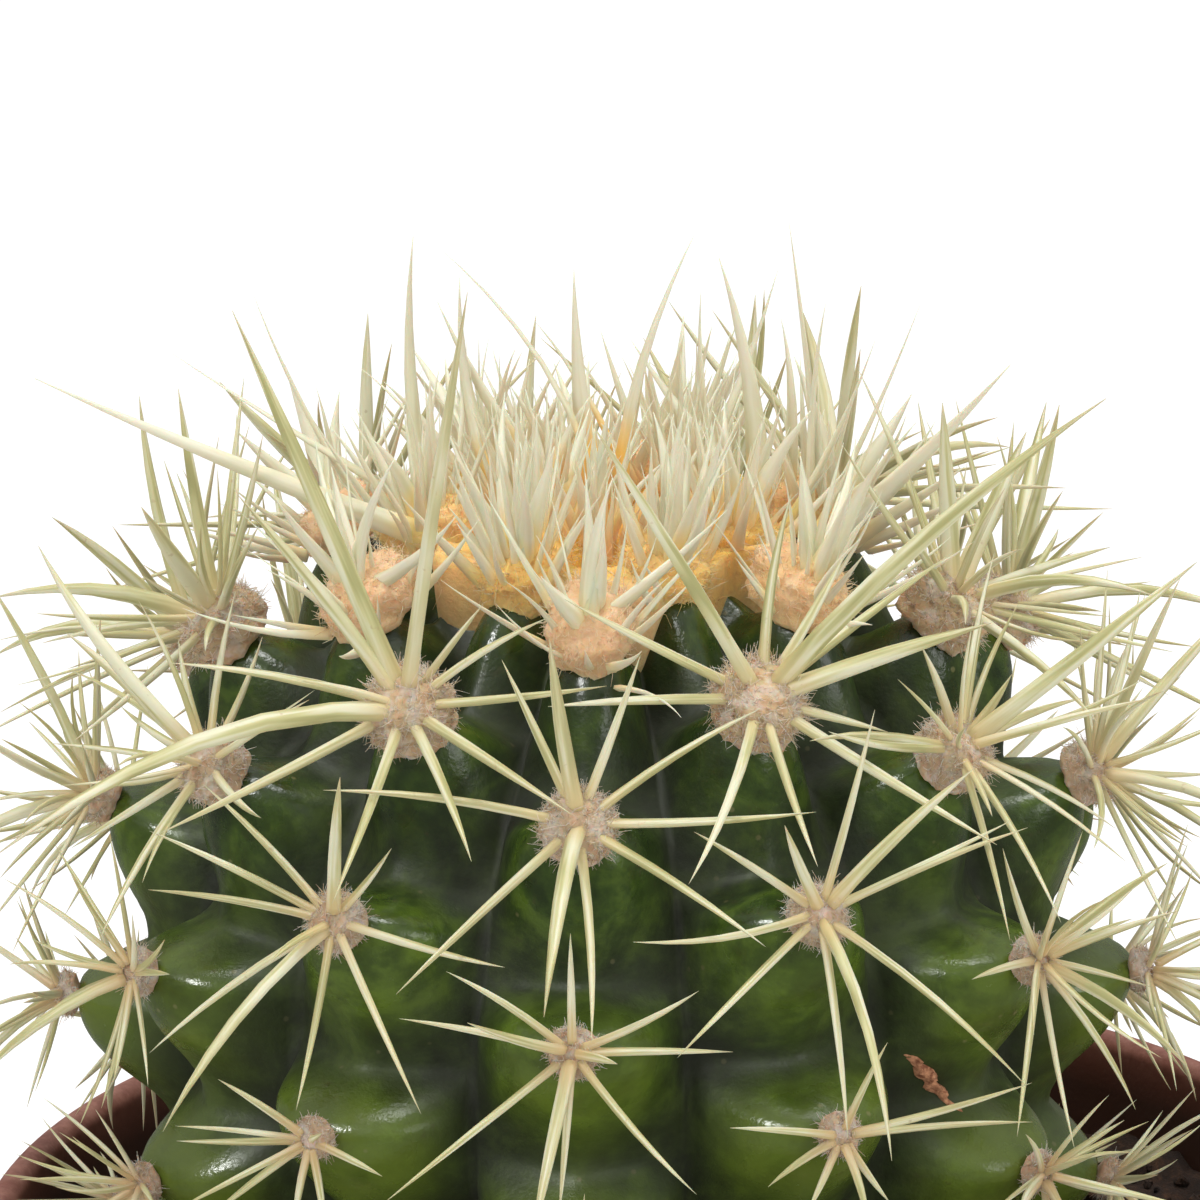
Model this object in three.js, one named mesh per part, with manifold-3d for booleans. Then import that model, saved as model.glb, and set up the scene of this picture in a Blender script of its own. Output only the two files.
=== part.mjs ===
// A small golden barrel cactus in a round nursery pot, in millimetres, +Z up.
// The origin is the centre of the pot's flat foot, and -Y is the side that faces the viewer.
import * as THREE from "three";
import { mergeVertices } from "three/addons/utils/BufferGeometryUtils.js";
import Module from "manifold-3d";

const wasm = await Module();
wasm.setup();

// ---- driving dimensions, in millimetres and degrees ----
const GAP = 0.3; // between pieces that rest on each other

const POT = {
  height: 100,
  rimRadius: 60,
  footRadius: 41,
  wall: 1.4,
  floor: 2,
  collarHeight: 17, // the straighter band below the rim
  collarTaper: 1.2,
  collarStep: 1.8, // how far the band stands out from the body
  collarShoulder: 1.5, // height over which the band steps out
  lipHeight: 2.6,
  lipWidth: 1.2,
  edge: 0.8, // bevel of the foot and the lip
  innerRise: 0.4, // how much higher the inside steps out than the outside
  sides: 40,
};
const DRAIN = { count: 6, radius: 3.5, ring: 29, depth: 6, sides: 8 };
const SOIL = { depthBelowRim: 9, flare: 0.8, lump: 1.1, rings: 4, sides: 28 };

const STEM = {
  offsetX: -6.8, // the plant stands a little to the left of the pot's axis
  centreAboveRim: 23.3,
  radius: 44.3,
  crownHeight: 42,
  baseDepth: 46,
  crownDip: 0.16, // share of the height that the growing point is sunk by
  crownDipAngle: 20,
  ribs: 13,
  firstRib: -3.5, // heading of the rib nearest the viewer, to the right of -Y
  grooveDepth: 9,
  grooveRound: 2.3, // how full a rib is across a tubercle, and how much sharper in a notch
  grooveSharpen: 0.8,
  grooveFrom: [8, 34], // polar angles between which the ribs rise out of the smooth top
  grooveTo: [128, 168], // and fade into the smooth base
  notchDepth: 6, // between one tubercle and the next down a rib
  notchAt: 0.72, // share of the way down to the next areole, whose tubercle juts out below it
  stepsPerRib: 6,
  rowsPerTurn: 3, // rows of the mesh from one areole of a rib to the next
  rowsAbove: 6, // rows over the one that the nearest rib's first areole sits on
  rowsBelow: 13,
  bottomAngle: 170,
};
const ROOT = { length: 22, topRadius: 6, middleRadius: 4.1, tipRadius: 1.5, topGap: 1 };
const SOCKET = { clearance: 0.8, from: 168, to: 120, step: 8, sides: 20 };

// Areoles, the felted cushions that carry the spines, sit in turns round the stem. Each rib is
// 6/13 of a turn lower than the one to its left, so that neighbours alternate.
const TURN = { shift: 6 / 13, angle: 23.7, start: 53.3, crownBelow: -0.75, first: -2, last: 3.05 };
const PAD = {
  young: 3.9,
  old: 1.9,
  shrinkFrom: -1.2, // turns between which the felt of an areole wears down
  shrinkTo: 1.9,
  height: 1, // as a share of the radius, as are the next four
  shoulder: [0.93, 0.35],
  rootHeight: 0.4,
  rootSpread: 0.4,
  sides: 6,
};

// Headings run clockwise from straight up, tilts are off the skin, lengths are in millimetres.
// A radial spine is [heading, length] and a central one is [heading, tilt, length].
const USUAL = {
  radial: [[-89, 21], [-60, 20], [-25, 18], [14, 18], [56, 19], [86, 21], [123, 21], [176, 17], [230, 21]],
  central: [[194, 38, 22], [-14, 46, 23], [66, 50, 20]],
};
const OLD = {
  after: 0.8, // the turn from which an areole has fewer spines
  radial: [[-88, 21], [-50, 20], [8, 18], [66, 20], [118, 20], [178, 18], [234, 21]],
  central: [[200, 36, 22]],
};
// The areoles nearest the viewer, spine by spine.
const NEAR = {
  rib01_row1: {
    radial: [[-89, 19], [-28, 13], [18, 13], [60, 16], [87, 18], [126, 18], [174, 19], [-140, 20]],
    central: [[-177, 36, 24], [-18, 42, 15]],
  },
  rib01_row2: {
    radial: [[-88, 13], [-46, 12], [0, 10], [61, 11], [87, 12], [136, 14], [-177, 12], [-129, 18]],
    central: [[-170, 30, 16], [-68, 40, 10], [88, 60, 7]],
  },
  rib02_row1: {
    radial: [[-89, 18], [-61, 17], [-2, 15], [45, 13], [67, 19], [126, 9], [149, 22], [-170, 18], [-142, 23]],
    central: [[72, 42, 35], [-49, 46, 29], [99, 34, 18]],
  },
  rib02_row2: {
    radial: [[-82, 18], [-56, 13], [5, 16], [74, 16], [80, 17], [143, 20], [-169, 18], [-121, 18]],
    central: [[-173, 26, 22], [62, 34, 16], [-33, 46, 12]],
  },
  rib02_row3: {
    radial: [[-73, 11], [14, 9], [80, 15], [92, 15], [149, 6], [-144, 6], [-110, 7]],
    central: [[176, 30, 7]],
  },
  rib03_row1: {
    radial: [[-70, 20], [-75, 21], [-13, 8], [18, 15], [37, 10], [93, 13], [147, 13], [-161, 17], [-142, 20]],
    central: [[89, 40, 23], [52, 50, 6]],
  },
  rib03_row2: {
    radial: [[-82, 11], [-133, 16], [-159, 15], [26, 10], [89, 10], [74, 10], [-36, 14]],
    central: [[150, 30, 14], [58, 40, 12]],
  },
  rib12_row1: {
    radial: [[-2, 13], [61, 17], [96, 13], [159, 17], [-88, 11], [-12, 9], [-126, 9], [-153, 12]],
    central: [[-64, 36, 22], [-75, 38, 15]],
  },
  rib13_row1: {
    radial: [[-146, 21], [-96, 19], [31, 9], [55, 13], [80, 18], [112, 22], [134, 20], [165, 21]],
    central: [[-157, 34, 39], [-59, 44, 20], [-38, 46, 33], [17, 50, 35]],
  },
  rib13_row2: {
    radial: [[-55, 14], [-77, 16], [-93, 15], [-140, 17], [169, 15], [133, 19], [83, 18], [41, 8], [1, 8]],
    central: [[-165, 26, 21], [25, 46, 16]],
  },
  rib13_row3: {
    radial: [[-93, 11], [-99, 11], [-57, 8], [98, 7], [159, 7], [-177, 7], [-133, 11]],
    central: [[54, 40, 5]],
  },
};
const SPINE = {
  radialRadius: 0.56,
  centralRadius: 0.85,
  thinRadial: 0.75, // the share of that radius left on the shortest ones
  thinCentral: 0.55,
  fullLength: 20, // a central spine this long or longer is as thick as any
  keepsThickness: 1.5, // at its middle, beside a straight taper
  sideTilt: 9,
  upTilt: 15, // added for a radial spine that points straight up
  downTilt: 6,
  headingJitter: 7,
  tiltJitter: 5,
  lengthJitter: 0.1,
  wander: 0.12, // more jitter with each new try
  wanderTilt: 0.045,
  ageShrink: 0.33, // share of the length lost at each turn down the stem
  shortest: 0.52,
  youngBefore: 0.5, // the turn down to which the newest spines stand steeper and still grow
  youngLift: 5, // in degrees
  youngLacks: 0.28, // share of a central spine's length that is still to grow
  bow: 0.1, // how far the first central spine curves, as a share of its length
  tries: 80,
};
// How far a spine keeps from what it must not touch.
const CLEAR = {
  spines: 0.25,
  thickness: 0.8, // mean radius of a three-sided needle, as a share of its corners' radius
  skin: 0.4,
  rim: 1.2,
  soil: 0.9,
  underRim: 12, // how far below the rim a spine outside the pot may hang
  pads: 1.12, // in pad radii
  ownPad: 1.6, // in pad radii, where a spine is still in its own felt
  padReach: 45, // areoles further apart than this can't meet
  spineReach: 75,
  samples: 14,
};
const CROWN = {
  sides: 16,
  edge: [27, 0.8], // polar angle and thickness of the felt where it ends
  felt: [[24, 1.4], [18, 1.8], [11, 2], [0, 2]], // polar angle and thickness further up
  smoothTo: 28, // polar angle down to which the felt levels out the sunken top
  seatAngles: [60, 50, 40, 32, 24, 16, 8, 0],
  lobe: [1.15, 1.4, 2.4], // a young areole's felt: across and along its rib in pad radii, height
  lobeSides: [6, 3],
  lobeRise: 0.4, // in pad radii
  rootHeight: 1.6,
  rootSpread: 1.2,
  spinesEach: 4,
  lengths: [11.5, 13.5], // of the newest young spines and of those on the crown's lowest areoles
  lengthRange: [0.75, 0.35], // the shortest, and how much longer the longest are
  radius: 0.95,
  spread: 34, // how far the young spines lean apart, in degrees
  outward: 0.55,
  skirtFrom: -1.15, // the turn from which a young areole has these radial spines too
  skirt: [[-96, 17, 13], [-58, 26, 14], [56, 26, 13], [94, 17, 12]], // heading, tilt, length
  skirtRadius: 0.6,
};
// The tallest young spines: root to the right of the growing point and behind it, lean to the right
// and away from the viewer, length, radius.
const TALL = [
  [-19, 2, -26, -2, 21, 0.6],
  [-15, 3, -1, 8, 21, 1.1],
  [-14, -4, -70, -2, 34, 0.9],
  [-13, 0, -62, 2, 25, 0.8],
  [-9, 5, -10, 4, 16, 1.1],
  [-4, 7, -38, 5, 16, 0.8],
  [-1, 4, -6, 2, 16, 1.1],
  [0, 3, 21, 6, 20, 0.7],
  [2, 1, -40, 0, 24, 0.8],
  [4, 6, -42, 3, 15, 0.6],
  [7, 7, 24, 8, 17, 0.6],
  [10, 6, -10, 4, 15, 0.6],
  [12, 8, -44, 2, 15, 0.8],
  [13, 5, -13, 3, 19, 1],
  [15, 0, 25, 0, 15, 0.8],
  [15, 6, -5, 3, 14, 0.6],
  [17, -2, 23, -3, 20, 0.6],
  [17, 2, 1, 0, 17, 0.7],
  [18, -3, 45, -4, 20, 1],
  [18, 3, -9, 4, 24, 0.7],
];
// What each repeatable draw is for.
const DRAW = { length: 1, side: 5, lean: 6, size: 7, heading: 100, tilt: 200 };

const toRadians = THREE.MathUtils.degToRad;
const rimZ = POT.height;
const soilZ = rimZ - SOIL.depthBelowRim;
const centre = new THREE.Vector3(STEM.offsetX, 0, rimZ + STEM.centreAboveRim);
const ribPitch = 360 / STEM.ribs;

// A repeatable draw from 0 to 1 that depends only on what it is drawn for.
function draw(a, b, c) {
  const x = Math.sin(a * 12.9898 + b * 78.233 + c * 37.719 + 4.137) * 43758.5453;
  return x - Math.floor(x);
}
const jitter = (a, b, c) => 2 * draw(a, b, c) - 1;

// ---- solids and meshes ----
function solidFrom(geometry) {
  const bare = geometry.index ? geometry.clone() : geometry;
  for (const name of Object.keys(bare.attributes)) {
    if (name !== "position") bare.deleteAttribute(name);
  }
  const merged = mergeVertices(bare, 1e-4);
  return new wasm.Manifold(
    new wasm.Mesh({
      numProp: 3,
      vertProperties: merged.attributes.position.array,
      triVerts: new Uint32Array(merged.index.array),
    }),
  );
}

// The pieces of a bunch fused into one body, with any hollow sealed between them filled.
function fused(solids) {
  const bodies = wasm.Manifold.union(solids).decompose();
  return bodies.reduce((largest, body) => (body.volume() > largest.volume() ? body : largest));
}

function geometryFrom(solid) {
  const mesh = solid.getMesh();
  const geometry = new THREE.BufferGeometry();
  geometry.setAttribute("position", new THREE.BufferAttribute(mesh.vertProperties, 3));
  geometry.setIndex(new THREE.BufferAttribute(mesh.triVerts, 1));
  geometry.computeVertexNormals();
  return geometry;
}

// A profile of [radius, height] points turned about the vertical.
function turned(profile, sides) {
  const points = profile.map(([radius, height]) => new THREE.Vector2(radius, height));
  return new THREE.LatheGeometry(points, sides).rotateX(Math.PI / 2);
}

function moveVertices(geometry, move) {
  const position = geometry.attributes.position;
  const point = new THREE.Vector3();
  for (let i = 0; i < position.count; i++) {
    move(point.fromBufferAttribute(position, i));
    position.setXYZ(i, point.x, point.y, point.z);
  }
  return geometry;
}

// ---- pot ----
const collarZ = rimZ - POT.collarHeight;
const collarTopRadius = POT.rimRadius - POT.lipWidth;
const collarBottomRadius = collarTopRadius - POT.collarTaper;
const bodyTopRadius = collarBottomRadius - POT.collarStep;

function potSolid() {
  const inner = (radius) => radius - POT.wall;
  const { edge } = POT;
  const profile = [
    [0, 0],
    [POT.footRadius - edge, 0],
    [POT.footRadius, edge],
    [bodyTopRadius, collarZ - POT.collarShoulder],
    [collarBottomRadius, collarZ],
    [collarTopRadius, rimZ - POT.lipHeight],
    [POT.rimRadius, rimZ - POT.lipHeight + edge / 2],
    [POT.rimRadius, rimZ - edge],
    [POT.rimRadius - edge, rimZ],
    [inner(collarTopRadius) + edge, rimZ],
    [inner(collarTopRadius), rimZ - edge],
    [inner(collarBottomRadius), collarZ + POT.innerRise],
    [inner(bodyTopRadius), collarZ - POT.collarShoulder + POT.innerRise],
    [inner(POT.footRadius), POT.floor],
    [0, POT.floor],
  ];
  let solid = solidFrom(turned(profile, POT.sides));
  for (let i = 0; i < DRAIN.count; i++) {
    const turn = (2 * Math.PI * i) / DRAIN.count;
    const drill = new THREE.CylinderGeometry(DRAIN.radius, DRAIN.radius, DRAIN.depth, DRAIN.sides);
    drill.rotateX(Math.PI / 2);
    drill.translate(DRAIN.ring * Math.cos(turn), DRAIN.ring * Math.sin(turn), POT.floor / 2);
    solid = solid.subtract(solidFrom(drill));
  }
  return solid;
}

// ---- stem ----
// Where a direction of the stem lies on its rib: how far across it (-0.5 to 0.5), and what share of
// the way it is from the areole above it to the next one down.
function ribPlace(t, heading) {
  const along = (heading - STEM.firstRib) / ribPitch;
  const rib = Math.round(along);
  const turns = (t - TURN.start) / TURN.angle - rib * TURN.shift;
  return { across: along - rib, down: turns - Math.floor(turns) };
}

// How far the top is sunk at a polar angle, as a share of the plain ellipsoid.
const sunk = (t) => STEM.crownDip * Math.exp(-((t / STEM.crownDipAngle) ** 2));

// The stem's size in a direction, as a share of the plain ellipsoid that its areoles lie on. The crest
// of a rib sinks slowly from each areole to the notch over the next tubercle, which juts out like a shelf.
function stemScale(t, heading) {
  const { smoothstep } = THREE.MathUtils;
  const { across, down } = ribPlace(t, heading);
  const side = Math.abs(2 * across);
  const notch = Math.min(smoothstep(down, 0, STEM.notchAt), smoothstep(1 - down, 0, 1 - STEM.notchAt));
  const groove = side ** (STEM.grooveRound - STEM.grooveSharpen * notch);
  const fade = smoothstep(t, ...STEM.grooveFrom) * (1 - smoothstep(t, ...STEM.grooveTo));
  const cut = groove * STEM.grooveDepth + notch * (1 - side * side) * STEM.notchDepth;
  return 1 - sunk(t) - (fade * cut) / STEM.radius;
}

// A point of the stem at polar angle t and a heading, at a share of the plain ellipsoid.
function stemPoint(t, heading, scale) {
  const height = t < 90 ? STEM.crownHeight : STEM.baseDepth;
  const radius = STEM.radius * Math.sin(toRadians(t)) * scale;
  return new THREE.Vector3(
    radius * Math.sin(toRadians(heading)),
    -radius * Math.cos(toRadians(heading)),
    height * Math.cos(toRadians(t)) * scale,
  ).add(centre);
}

// The outward normal of the plain ellipsoid there.
function stemNormal(t, heading) {
  const height = t < 90 ? STEM.crownHeight : STEM.baseDepth;
  const level = Math.sin(toRadians(t)) / STEM.radius;
  return new THREE.Vector3(
    level * Math.sin(toRadians(heading)),
    -level * Math.cos(toRadians(heading)),
    Math.cos(toRadians(t)) / height,
  ).normalize();
}

// How far a point stands off the skin, in millimetres, measured towards the stem's centre.
function heightOffSkin(point) {
  const p = point.clone().sub(centre);
  const level = Math.hypot(p.x, p.y) / STEM.radius;
  const rise = p.z / (p.z > 0 ? STEM.crownHeight : STEM.baseDepth);
  const t = THREE.MathUtils.radToDeg(Math.atan2(level, rise));
  const heading = THREE.MathUtils.radToDeg(Math.atan2(p.x, -p.y));
  return (Math.hypot(level, rise) - stemScale(t, heading)) * STEM.radius;
}

const rootZ = centre.z - STEM.baseDepth;
const rootProfile = [
  [ROOT.topRadius, rootZ - ROOT.topGap],
  [ROOT.middleRadius, rootZ - ROOT.length / 2],
  [ROOT.tipRadius, rootZ - ROOT.length],
  [0, rootZ - ROOT.length],
];

const rowStep = TURN.angle / STEM.rowsPerTurn;

// The mesh's rows slide up or down each rib's crest by less than a row, so that one passes through
// each of its areoles. They lie level in the grooves.
function rowSlide(heading) {
  const along = (heading - STEM.firstRib) / ribPitch;
  const rib = Math.round(along);
  const shift = rib * TURN.shift * STEM.rowsPerTurn;
  return (shift - Math.round(shift)) * rowStep * (1 - Math.abs(2 * (along - rib)));
}

function stemSolid() {
  const rowAngles = [0];
  for (let row = -STEM.rowsAbove; row <= STEM.rowsBelow; row++) {
    rowAngles.push(TURN.start + row * rowStep);
  }
  rowAngles.push(STEM.bottomAngle);
  rowAngles.reverse();
  const rootRows = [...rootProfile].reverse();
  const sides = STEM.ribs * STEM.stepsPerRib;
  const stack = [...rootRows, ...rowAngles.map((t) => [t, 0])]; // put in place one by one below
  const geometry = turned(stack, sides);
  const position = geometry.attributes.position;
  for (let i = 0; i < position.count; i++) {
    const column = Math.floor(i / stack.length) % sides;
    const row = i % stack.length;
    const heading = STEM.firstRib + (column * 360) / sides;
    const point = new THREE.Vector3();
    if (row < rootRows.length) {
      const [radius, height] = rootRows[row];
      point.set(radius * Math.sin(toRadians(heading)), -radius * Math.cos(toRadians(heading)), height);
      point.x += centre.x;
    } else {
      const level = rowAngles[row - rootRows.length];
      const isEnd = level === 0 || level === STEM.bottomAngle;
      const t = isEnd ? level : level + rowSlide(heading);
      point.copy(stemPoint(t, heading, stemScale(t, heading)));
    }
    position.setXYZ(i, point.x, point.y, point.z);
  }
  return solidFrom(geometry);
}

// ---- soil ----
// Three crossing waves, in millimetres.
function lumpiness(x, y) {
  const wide = 0.5 * Math.sin(0.31 * x + 0.17 * y);
  const middling = 0.3 * Math.sin(0.23 * y - 0.41 * x + 2);
  const narrow = 0.3 * Math.sin(0.57 * y + 1);
  return SOIL.lump * (wide + middling + narrow);
}

// The room the buried end of the stem takes in the soil, with a gap all round.
function stemSocket() {
  const root = [...rootProfile].reverse();
  const profile = root.map(([radius, height]) => [radius && radius + GAP, height - GAP]);
  for (let t = SOCKET.from; t >= SOCKET.to; t -= SOCKET.step) {
    const p = stemPoint(t, 90, 1).addScaledVector(stemNormal(t, 90), SOCKET.clearance).sub(centre);
    profile.push([p.x, centre.z + p.z]);
  }
  profile.push([0, profile.at(-1)[1]]);
  return solidFrom(turned(profile, SOCKET.sides).translate(centre.x, centre.y, 0));
}

function soilSolid() {
  const clear = POT.wall + 2 * GAP;
  const surfaceRadius = collarBottomRadius - clear + SOIL.flare;
  const profile = [
    [0, POT.floor + GAP],
    [POT.footRadius - clear, POT.floor + GAP],
    [bodyTopRadius - clear, collarZ - POT.collarShoulder],
    [collarBottomRadius - clear, collarZ + POT.collarShoulder],
  ];
  for (let ring = SOIL.rings; ring >= 0; ring--) {
    profile.push([(surfaceRadius * ring) / SOIL.rings, soilZ]);
  }
  const geometry = moveVertices(turned(profile, SOIL.sides), (point) => {
    if (point.z === soilZ) point.z += lumpiness(point.x, point.y);
  });
  return solidFrom(geometry).subtract(stemSocket());
}

// ---- areoles and spines ----
function areoleAt(rib, turn) {
  const t = TURN.start + TURN.angle * turn;
  const heading = STEM.firstRib + rib * ribPitch;
  const normal = stemNormal(t, heading);
  const right = new THREE.Vector3(Math.cos(toRadians(heading)), Math.sin(toRadians(heading)), 0);
  const up = new THREE.Vector3().crossVectors(normal, right);
  const worn = THREE.MathUtils.smoothstep(turn, PAD.shrinkFrom, PAD.shrinkTo);
  const padRadius = THREE.MathUtils.lerp(PAD.young, PAD.old, worn);
  const row = Math.floor(turn - TURN.crownBelow) + 1;
  const name = `rib${String(rib + 1).padStart(2, "0")}_row${row}`;
  const seed = 100 * rib + 10 * (turn - TURN.first);
  return { name, turn, seed, at: stemPoint(t, heading, 1 - sunk(t)), normal, right, up, padRadius };
}

// Every areole, from the newest at the crown to the oldest at the base.
function allAreoles() {
  const found = [];
  for (let rib = 0; rib < STEM.ribs; rib++) {
    const lead = (rib * TURN.shift) % 1;
    for (let turn = lead + TURN.first; turn <= TURN.last; turn++) {
      found.push(areoleAt(rib, turn));
    }
  }
  return found.sort((a, b) => a.turn - b.turn);
}

function padGeometry(areole) {
  const { padRadius: radius } = areole;
  const height = radius * PAD.height;
  const profile = [
    [0, 0],
    [radius, 0],
    [radius * PAD.shoulder[0], height * PAD.shoulder[1]],
    [0, height],
  ];
  const basis = new THREE.Matrix4().makeBasis(areole.right, areole.up, areole.normal);
  basis.setPosition(areole.at.clone().addScaledVector(areole.normal, GAP));
  return turned(profile, PAD.sides).applyMatrix4(basis);
}

// A spine's axis as 1 or 2 straight stretches, from its root inside the pad to its tip.
function spineAxis(areole, headingDegrees, tiltDegrees, length, bow) {
  const heading = toRadians(headingDegrees);
  const tilt = toRadians(tiltDegrees);
  const out = new THREE.Vector3()
    .addScaledVector(areole.up, Math.cos(tilt) * Math.cos(heading))
    .addScaledVector(areole.right, Math.cos(tilt) * Math.sin(heading))
    .addScaledVector(areole.normal, Math.sin(tilt));
  const root = areole.at.clone().addScaledVector(areole.normal, GAP + areole.padRadius * PAD.rootHeight);
  root.addScaledVector(out, areole.padRadius * PAD.rootSpread);
  const tip = root.clone().addScaledVector(out, length);
  if (!bow) return [root, tip];
  const lift = areole.normal.clone().addScaledVector(out, -areole.normal.dot(out)).normalize();
  const middle = root.clone().lerp(tip, 0.5).addScaledVector(lift, bow * length);
  return [root, middle, tip];
}

// The shortest distance between two stretches, each [start, end].
function stretchDistance([a, b], [c, d]) {
  const first = b.clone().sub(a);
  const second = d.clone().sub(c);
  const between = a.clone().sub(c);
  const ff = first.dot(first);
  const ss = second.dot(second);
  const fs = first.dot(second);
  const fb = first.dot(between);
  const sb = second.dot(between);
  const clamp = (x) => THREE.MathUtils.clamp(x, 0, 1);
  let s = clamp((fs * sb - fb * ss) / Math.max(ff * ss - fs * fs, 1e-9));
  const t = clamp((fs * s + sb) / ss);
  s = clamp((fs * t - fb) / ff);
  return a.clone().addScaledVector(first, s).distanceTo(c.clone().addScaledVector(second, t));
}

const stretches = (axis) => axis.slice(1).map((end, i) => [axis[i], end]);

// Whether a point of a spine is clear of the pot, the soil and the skin.
function isPointClear(point, radius) {
  const out = Math.hypot(point.x, point.y);
  const overRim = out > collarBottomRadius - POT.wall - CLEAR.rim && out < POT.rimRadius + CLEAR.rim;
  if (overRim && point.z < rimZ + CLEAR.rim) return false;
  if (out < POT.rimRadius && point.z < soilZ + SOIL.lump + CLEAR.soil) return false;
  if (out > POT.rimRadius && point.z < rimZ - CLEAR.underRim) return false;
  return heightOffSkin(point) > radius + CLEAR.skin;
}

// Whether a spine clears all of those, the other pads and the spines of other areoles.
function isClear(areole, axis, radius, placed, areoles) {
  const parts = stretches(axis);
  for (const [from, to] of parts) {
    for (let i = 1; i <= CLEAR.samples; i++) {
      const point = from.clone().lerp(to, i / CLEAR.samples);
      const inOwnFelt = point.distanceTo(areole.at) < areole.padRadius * CLEAR.ownPad;
      if (!inOwnFelt && !isPointClear(point, radius)) return false;
    }
  }
  for (const other of areoles) {
    if (other === areole || other.at.distanceTo(areole.at) > CLEAR.padReach) continue;
    const core = other.at.clone().addScaledVector(other.normal, GAP + other.padRadius * PAD.rootHeight);
    const reach = other.padRadius * CLEAR.pads + radius;
    const above = core.clone().add(other.normal);
    if (parts.some((part) => stretchDistance(part, [core, above]) < reach)) return false;
  }
  return placed.every((spine) => {
    if (spine.areole === areole || spine.areole.at.distanceTo(areole.at) > CLEAR.spineReach) return true;
    const least = CLEAR.thickness * (radius + spine.radius) + CLEAR.spines;
    const others = stretches(spine.axis);
    return parts.every((part) => others.every((other) => stretchDistance(part, other) > least));
  });
}

// How far off the skin a radial spine leans, by its heading.
function radialTilt(heading) {
  const rise = Math.cos(toRadians(heading));
  return SPINE.sideTilt + SPINE.upTilt * Math.max(0, rise) + SPINE.downTilt * Math.max(0, -rise);
}

// The spines planned for an areole: those seen in it as they are, or the usual ones, to be varied.
function spinePlans(areole) {
  const { lerp, clamp } = THREE.MathUtils;
  const seen = NEAR[areole.name];
  const { radial, central } = seen ?? (areole.turn > OLD.after ? OLD : USUAL);
  const young = seen ? 0 : clamp(SPINE.youngBefore - areole.turn, 0, 1);
  const share = seen ? 1 : Math.max(SPINE.shortest, 1 - SPINE.ageShrink * Math.max(0, areole.turn));
  const lift = SPINE.youngLift * young;
  const loose = seen ? 0 : 1;
  const fullness = (length) => clamp(length / SPINE.fullLength, 0, 1);
  return [
    ...central.map(([heading, tilt, length], i) => ({
      heading,
      tilt: tilt + lift,
      length: length * share * (1 - SPINE.youngLacks * young),
      radius: SPINE.centralRadius * lerp(SPINE.thinCentral, 1, fullness(length * share)),
      bow: i === 0 ? SPINE.bow : 0,
      loose,
    })),
    ...radial.map(([heading, length]) => ({
      heading,
      tilt: radialTilt(heading) + lift,
      length: length * share,
      radius: SPINE.radialRadius * lerp(SPINE.thinRadial, 1, share),
      bow: 0,
      loose,
    })),
  ];
}

// Turns a planned spine a little further each time until it is clear, or gives it up.
function placeSpine(areole, plan, index, placed, areoles) {
  const { seed } = areole;
  const length = plan.length * (1 + plan.loose * SPINE.lengthJitter * jitter(seed, index, DRAW.length));
  for (let attempt = 0; attempt < SPINE.tries; attempt++) {
    const wander = plan.loose + attempt * SPINE.wander;
    const tiltWander = plan.loose + attempt * SPINE.wanderTilt;
    const heading = plan.heading + SPINE.headingJitter * wander * jitter(seed, index, DRAW.heading + attempt);
    const tilt = plan.tilt + SPINE.tiltJitter * tiltWander * jitter(seed, index, DRAW.tilt + attempt);
    const steeper = SPINE.tiltJitter * attempt * SPINE.wanderTilt;
    const axis = spineAxis(areole, heading, tilt + steeper, length, plan.bow);
    if (isClear(areole, axis, plan.radius, placed, areoles)) {
      placed.push({ areole, axis, radius: plan.radius });
      return;
    }
  }
}

// A three-sided needle along an axis of 2 or 3 points.
function needleSolid({ axis, radius }) {
  const bends = axis.length - 1;
  const geometry = new THREE.ConeGeometry(radius, 1, 3, bends);
  const along = axis.at(-1).clone().sub(axis[0]).normalize();
  const turn = new THREE.Quaternion().setFromUnitVectors(new THREE.Vector3(0, 1, 0), along);
  moveVertices(geometry, (point) => {
    const knot = Math.min(bends, Math.round((point.y + 0.5) * bends)); // the cone's y runs from -0.5 to 0.5
    const thickness = bends > 1 && knot === 1 ? SPINE.keepsThickness : 1;
    const offset = new THREE.Vector3(point.x * thickness, 0, point.z * thickness).applyQuaternion(turn);
    point.copy(axis[knot]).add(offset);
  });
  return solidFrom(geometry);
}

// ---- crown ----
// The upright young spines of an areole in the crown, leaning apart.
function youngSpines(areole) {
  const { seed, normal, right, up } = areole;
  const middle = normal.clone().lerp(new THREE.Vector3(0, 0, 1), 1 - CROWN.outward).normalize();
  const root = areole.at.clone().addScaledVector(normal, CROWN.rootHeight);
  const [shortest, more] = CROWN.lengthRange;
  const usual = THREE.MathUtils.mapLinear(areole.turn, TURN.first, TURN.crownBelow, ...CROWN.lengths);
  return Array.from({ length: CROWN.spinesEach }, (_, i) => {
    const side = toRadians((360 * (i + draw(seed, i, DRAW.side))) / CROWN.spinesEach);
    const lean = Math.tan(toRadians(CROWN.spread * Math.sqrt(draw(seed, i, DRAW.lean))));
    const out = middle.clone();
    out.addScaledVector(right, lean * Math.sin(side));
    out.addScaledVector(up, lean * Math.cos(side));
    const length = usual * (shortest + more * draw(seed, i, DRAW.size));
    const start = root.clone().addScaledVector(out, CROWN.rootSpread * lean);
    const tip = root.clone().addScaledVector(out.normalize(), length);
    return { areole, axis: [start, tip], radius: CROWN.radius };
  });
}

// The radial spines that the crown's lowest areoles have as well.
function skirtSpines(areole) {
  if (areole.turn < CROWN.skirtFrom) return [];
  return CROWN.skirt.map(([heading, tilt, length]) => ({
    areole,
    axis: spineAxis(areole, heading, tilt, length, 0),
    radius: CROWN.skirtRadius,
  }));
}

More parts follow.
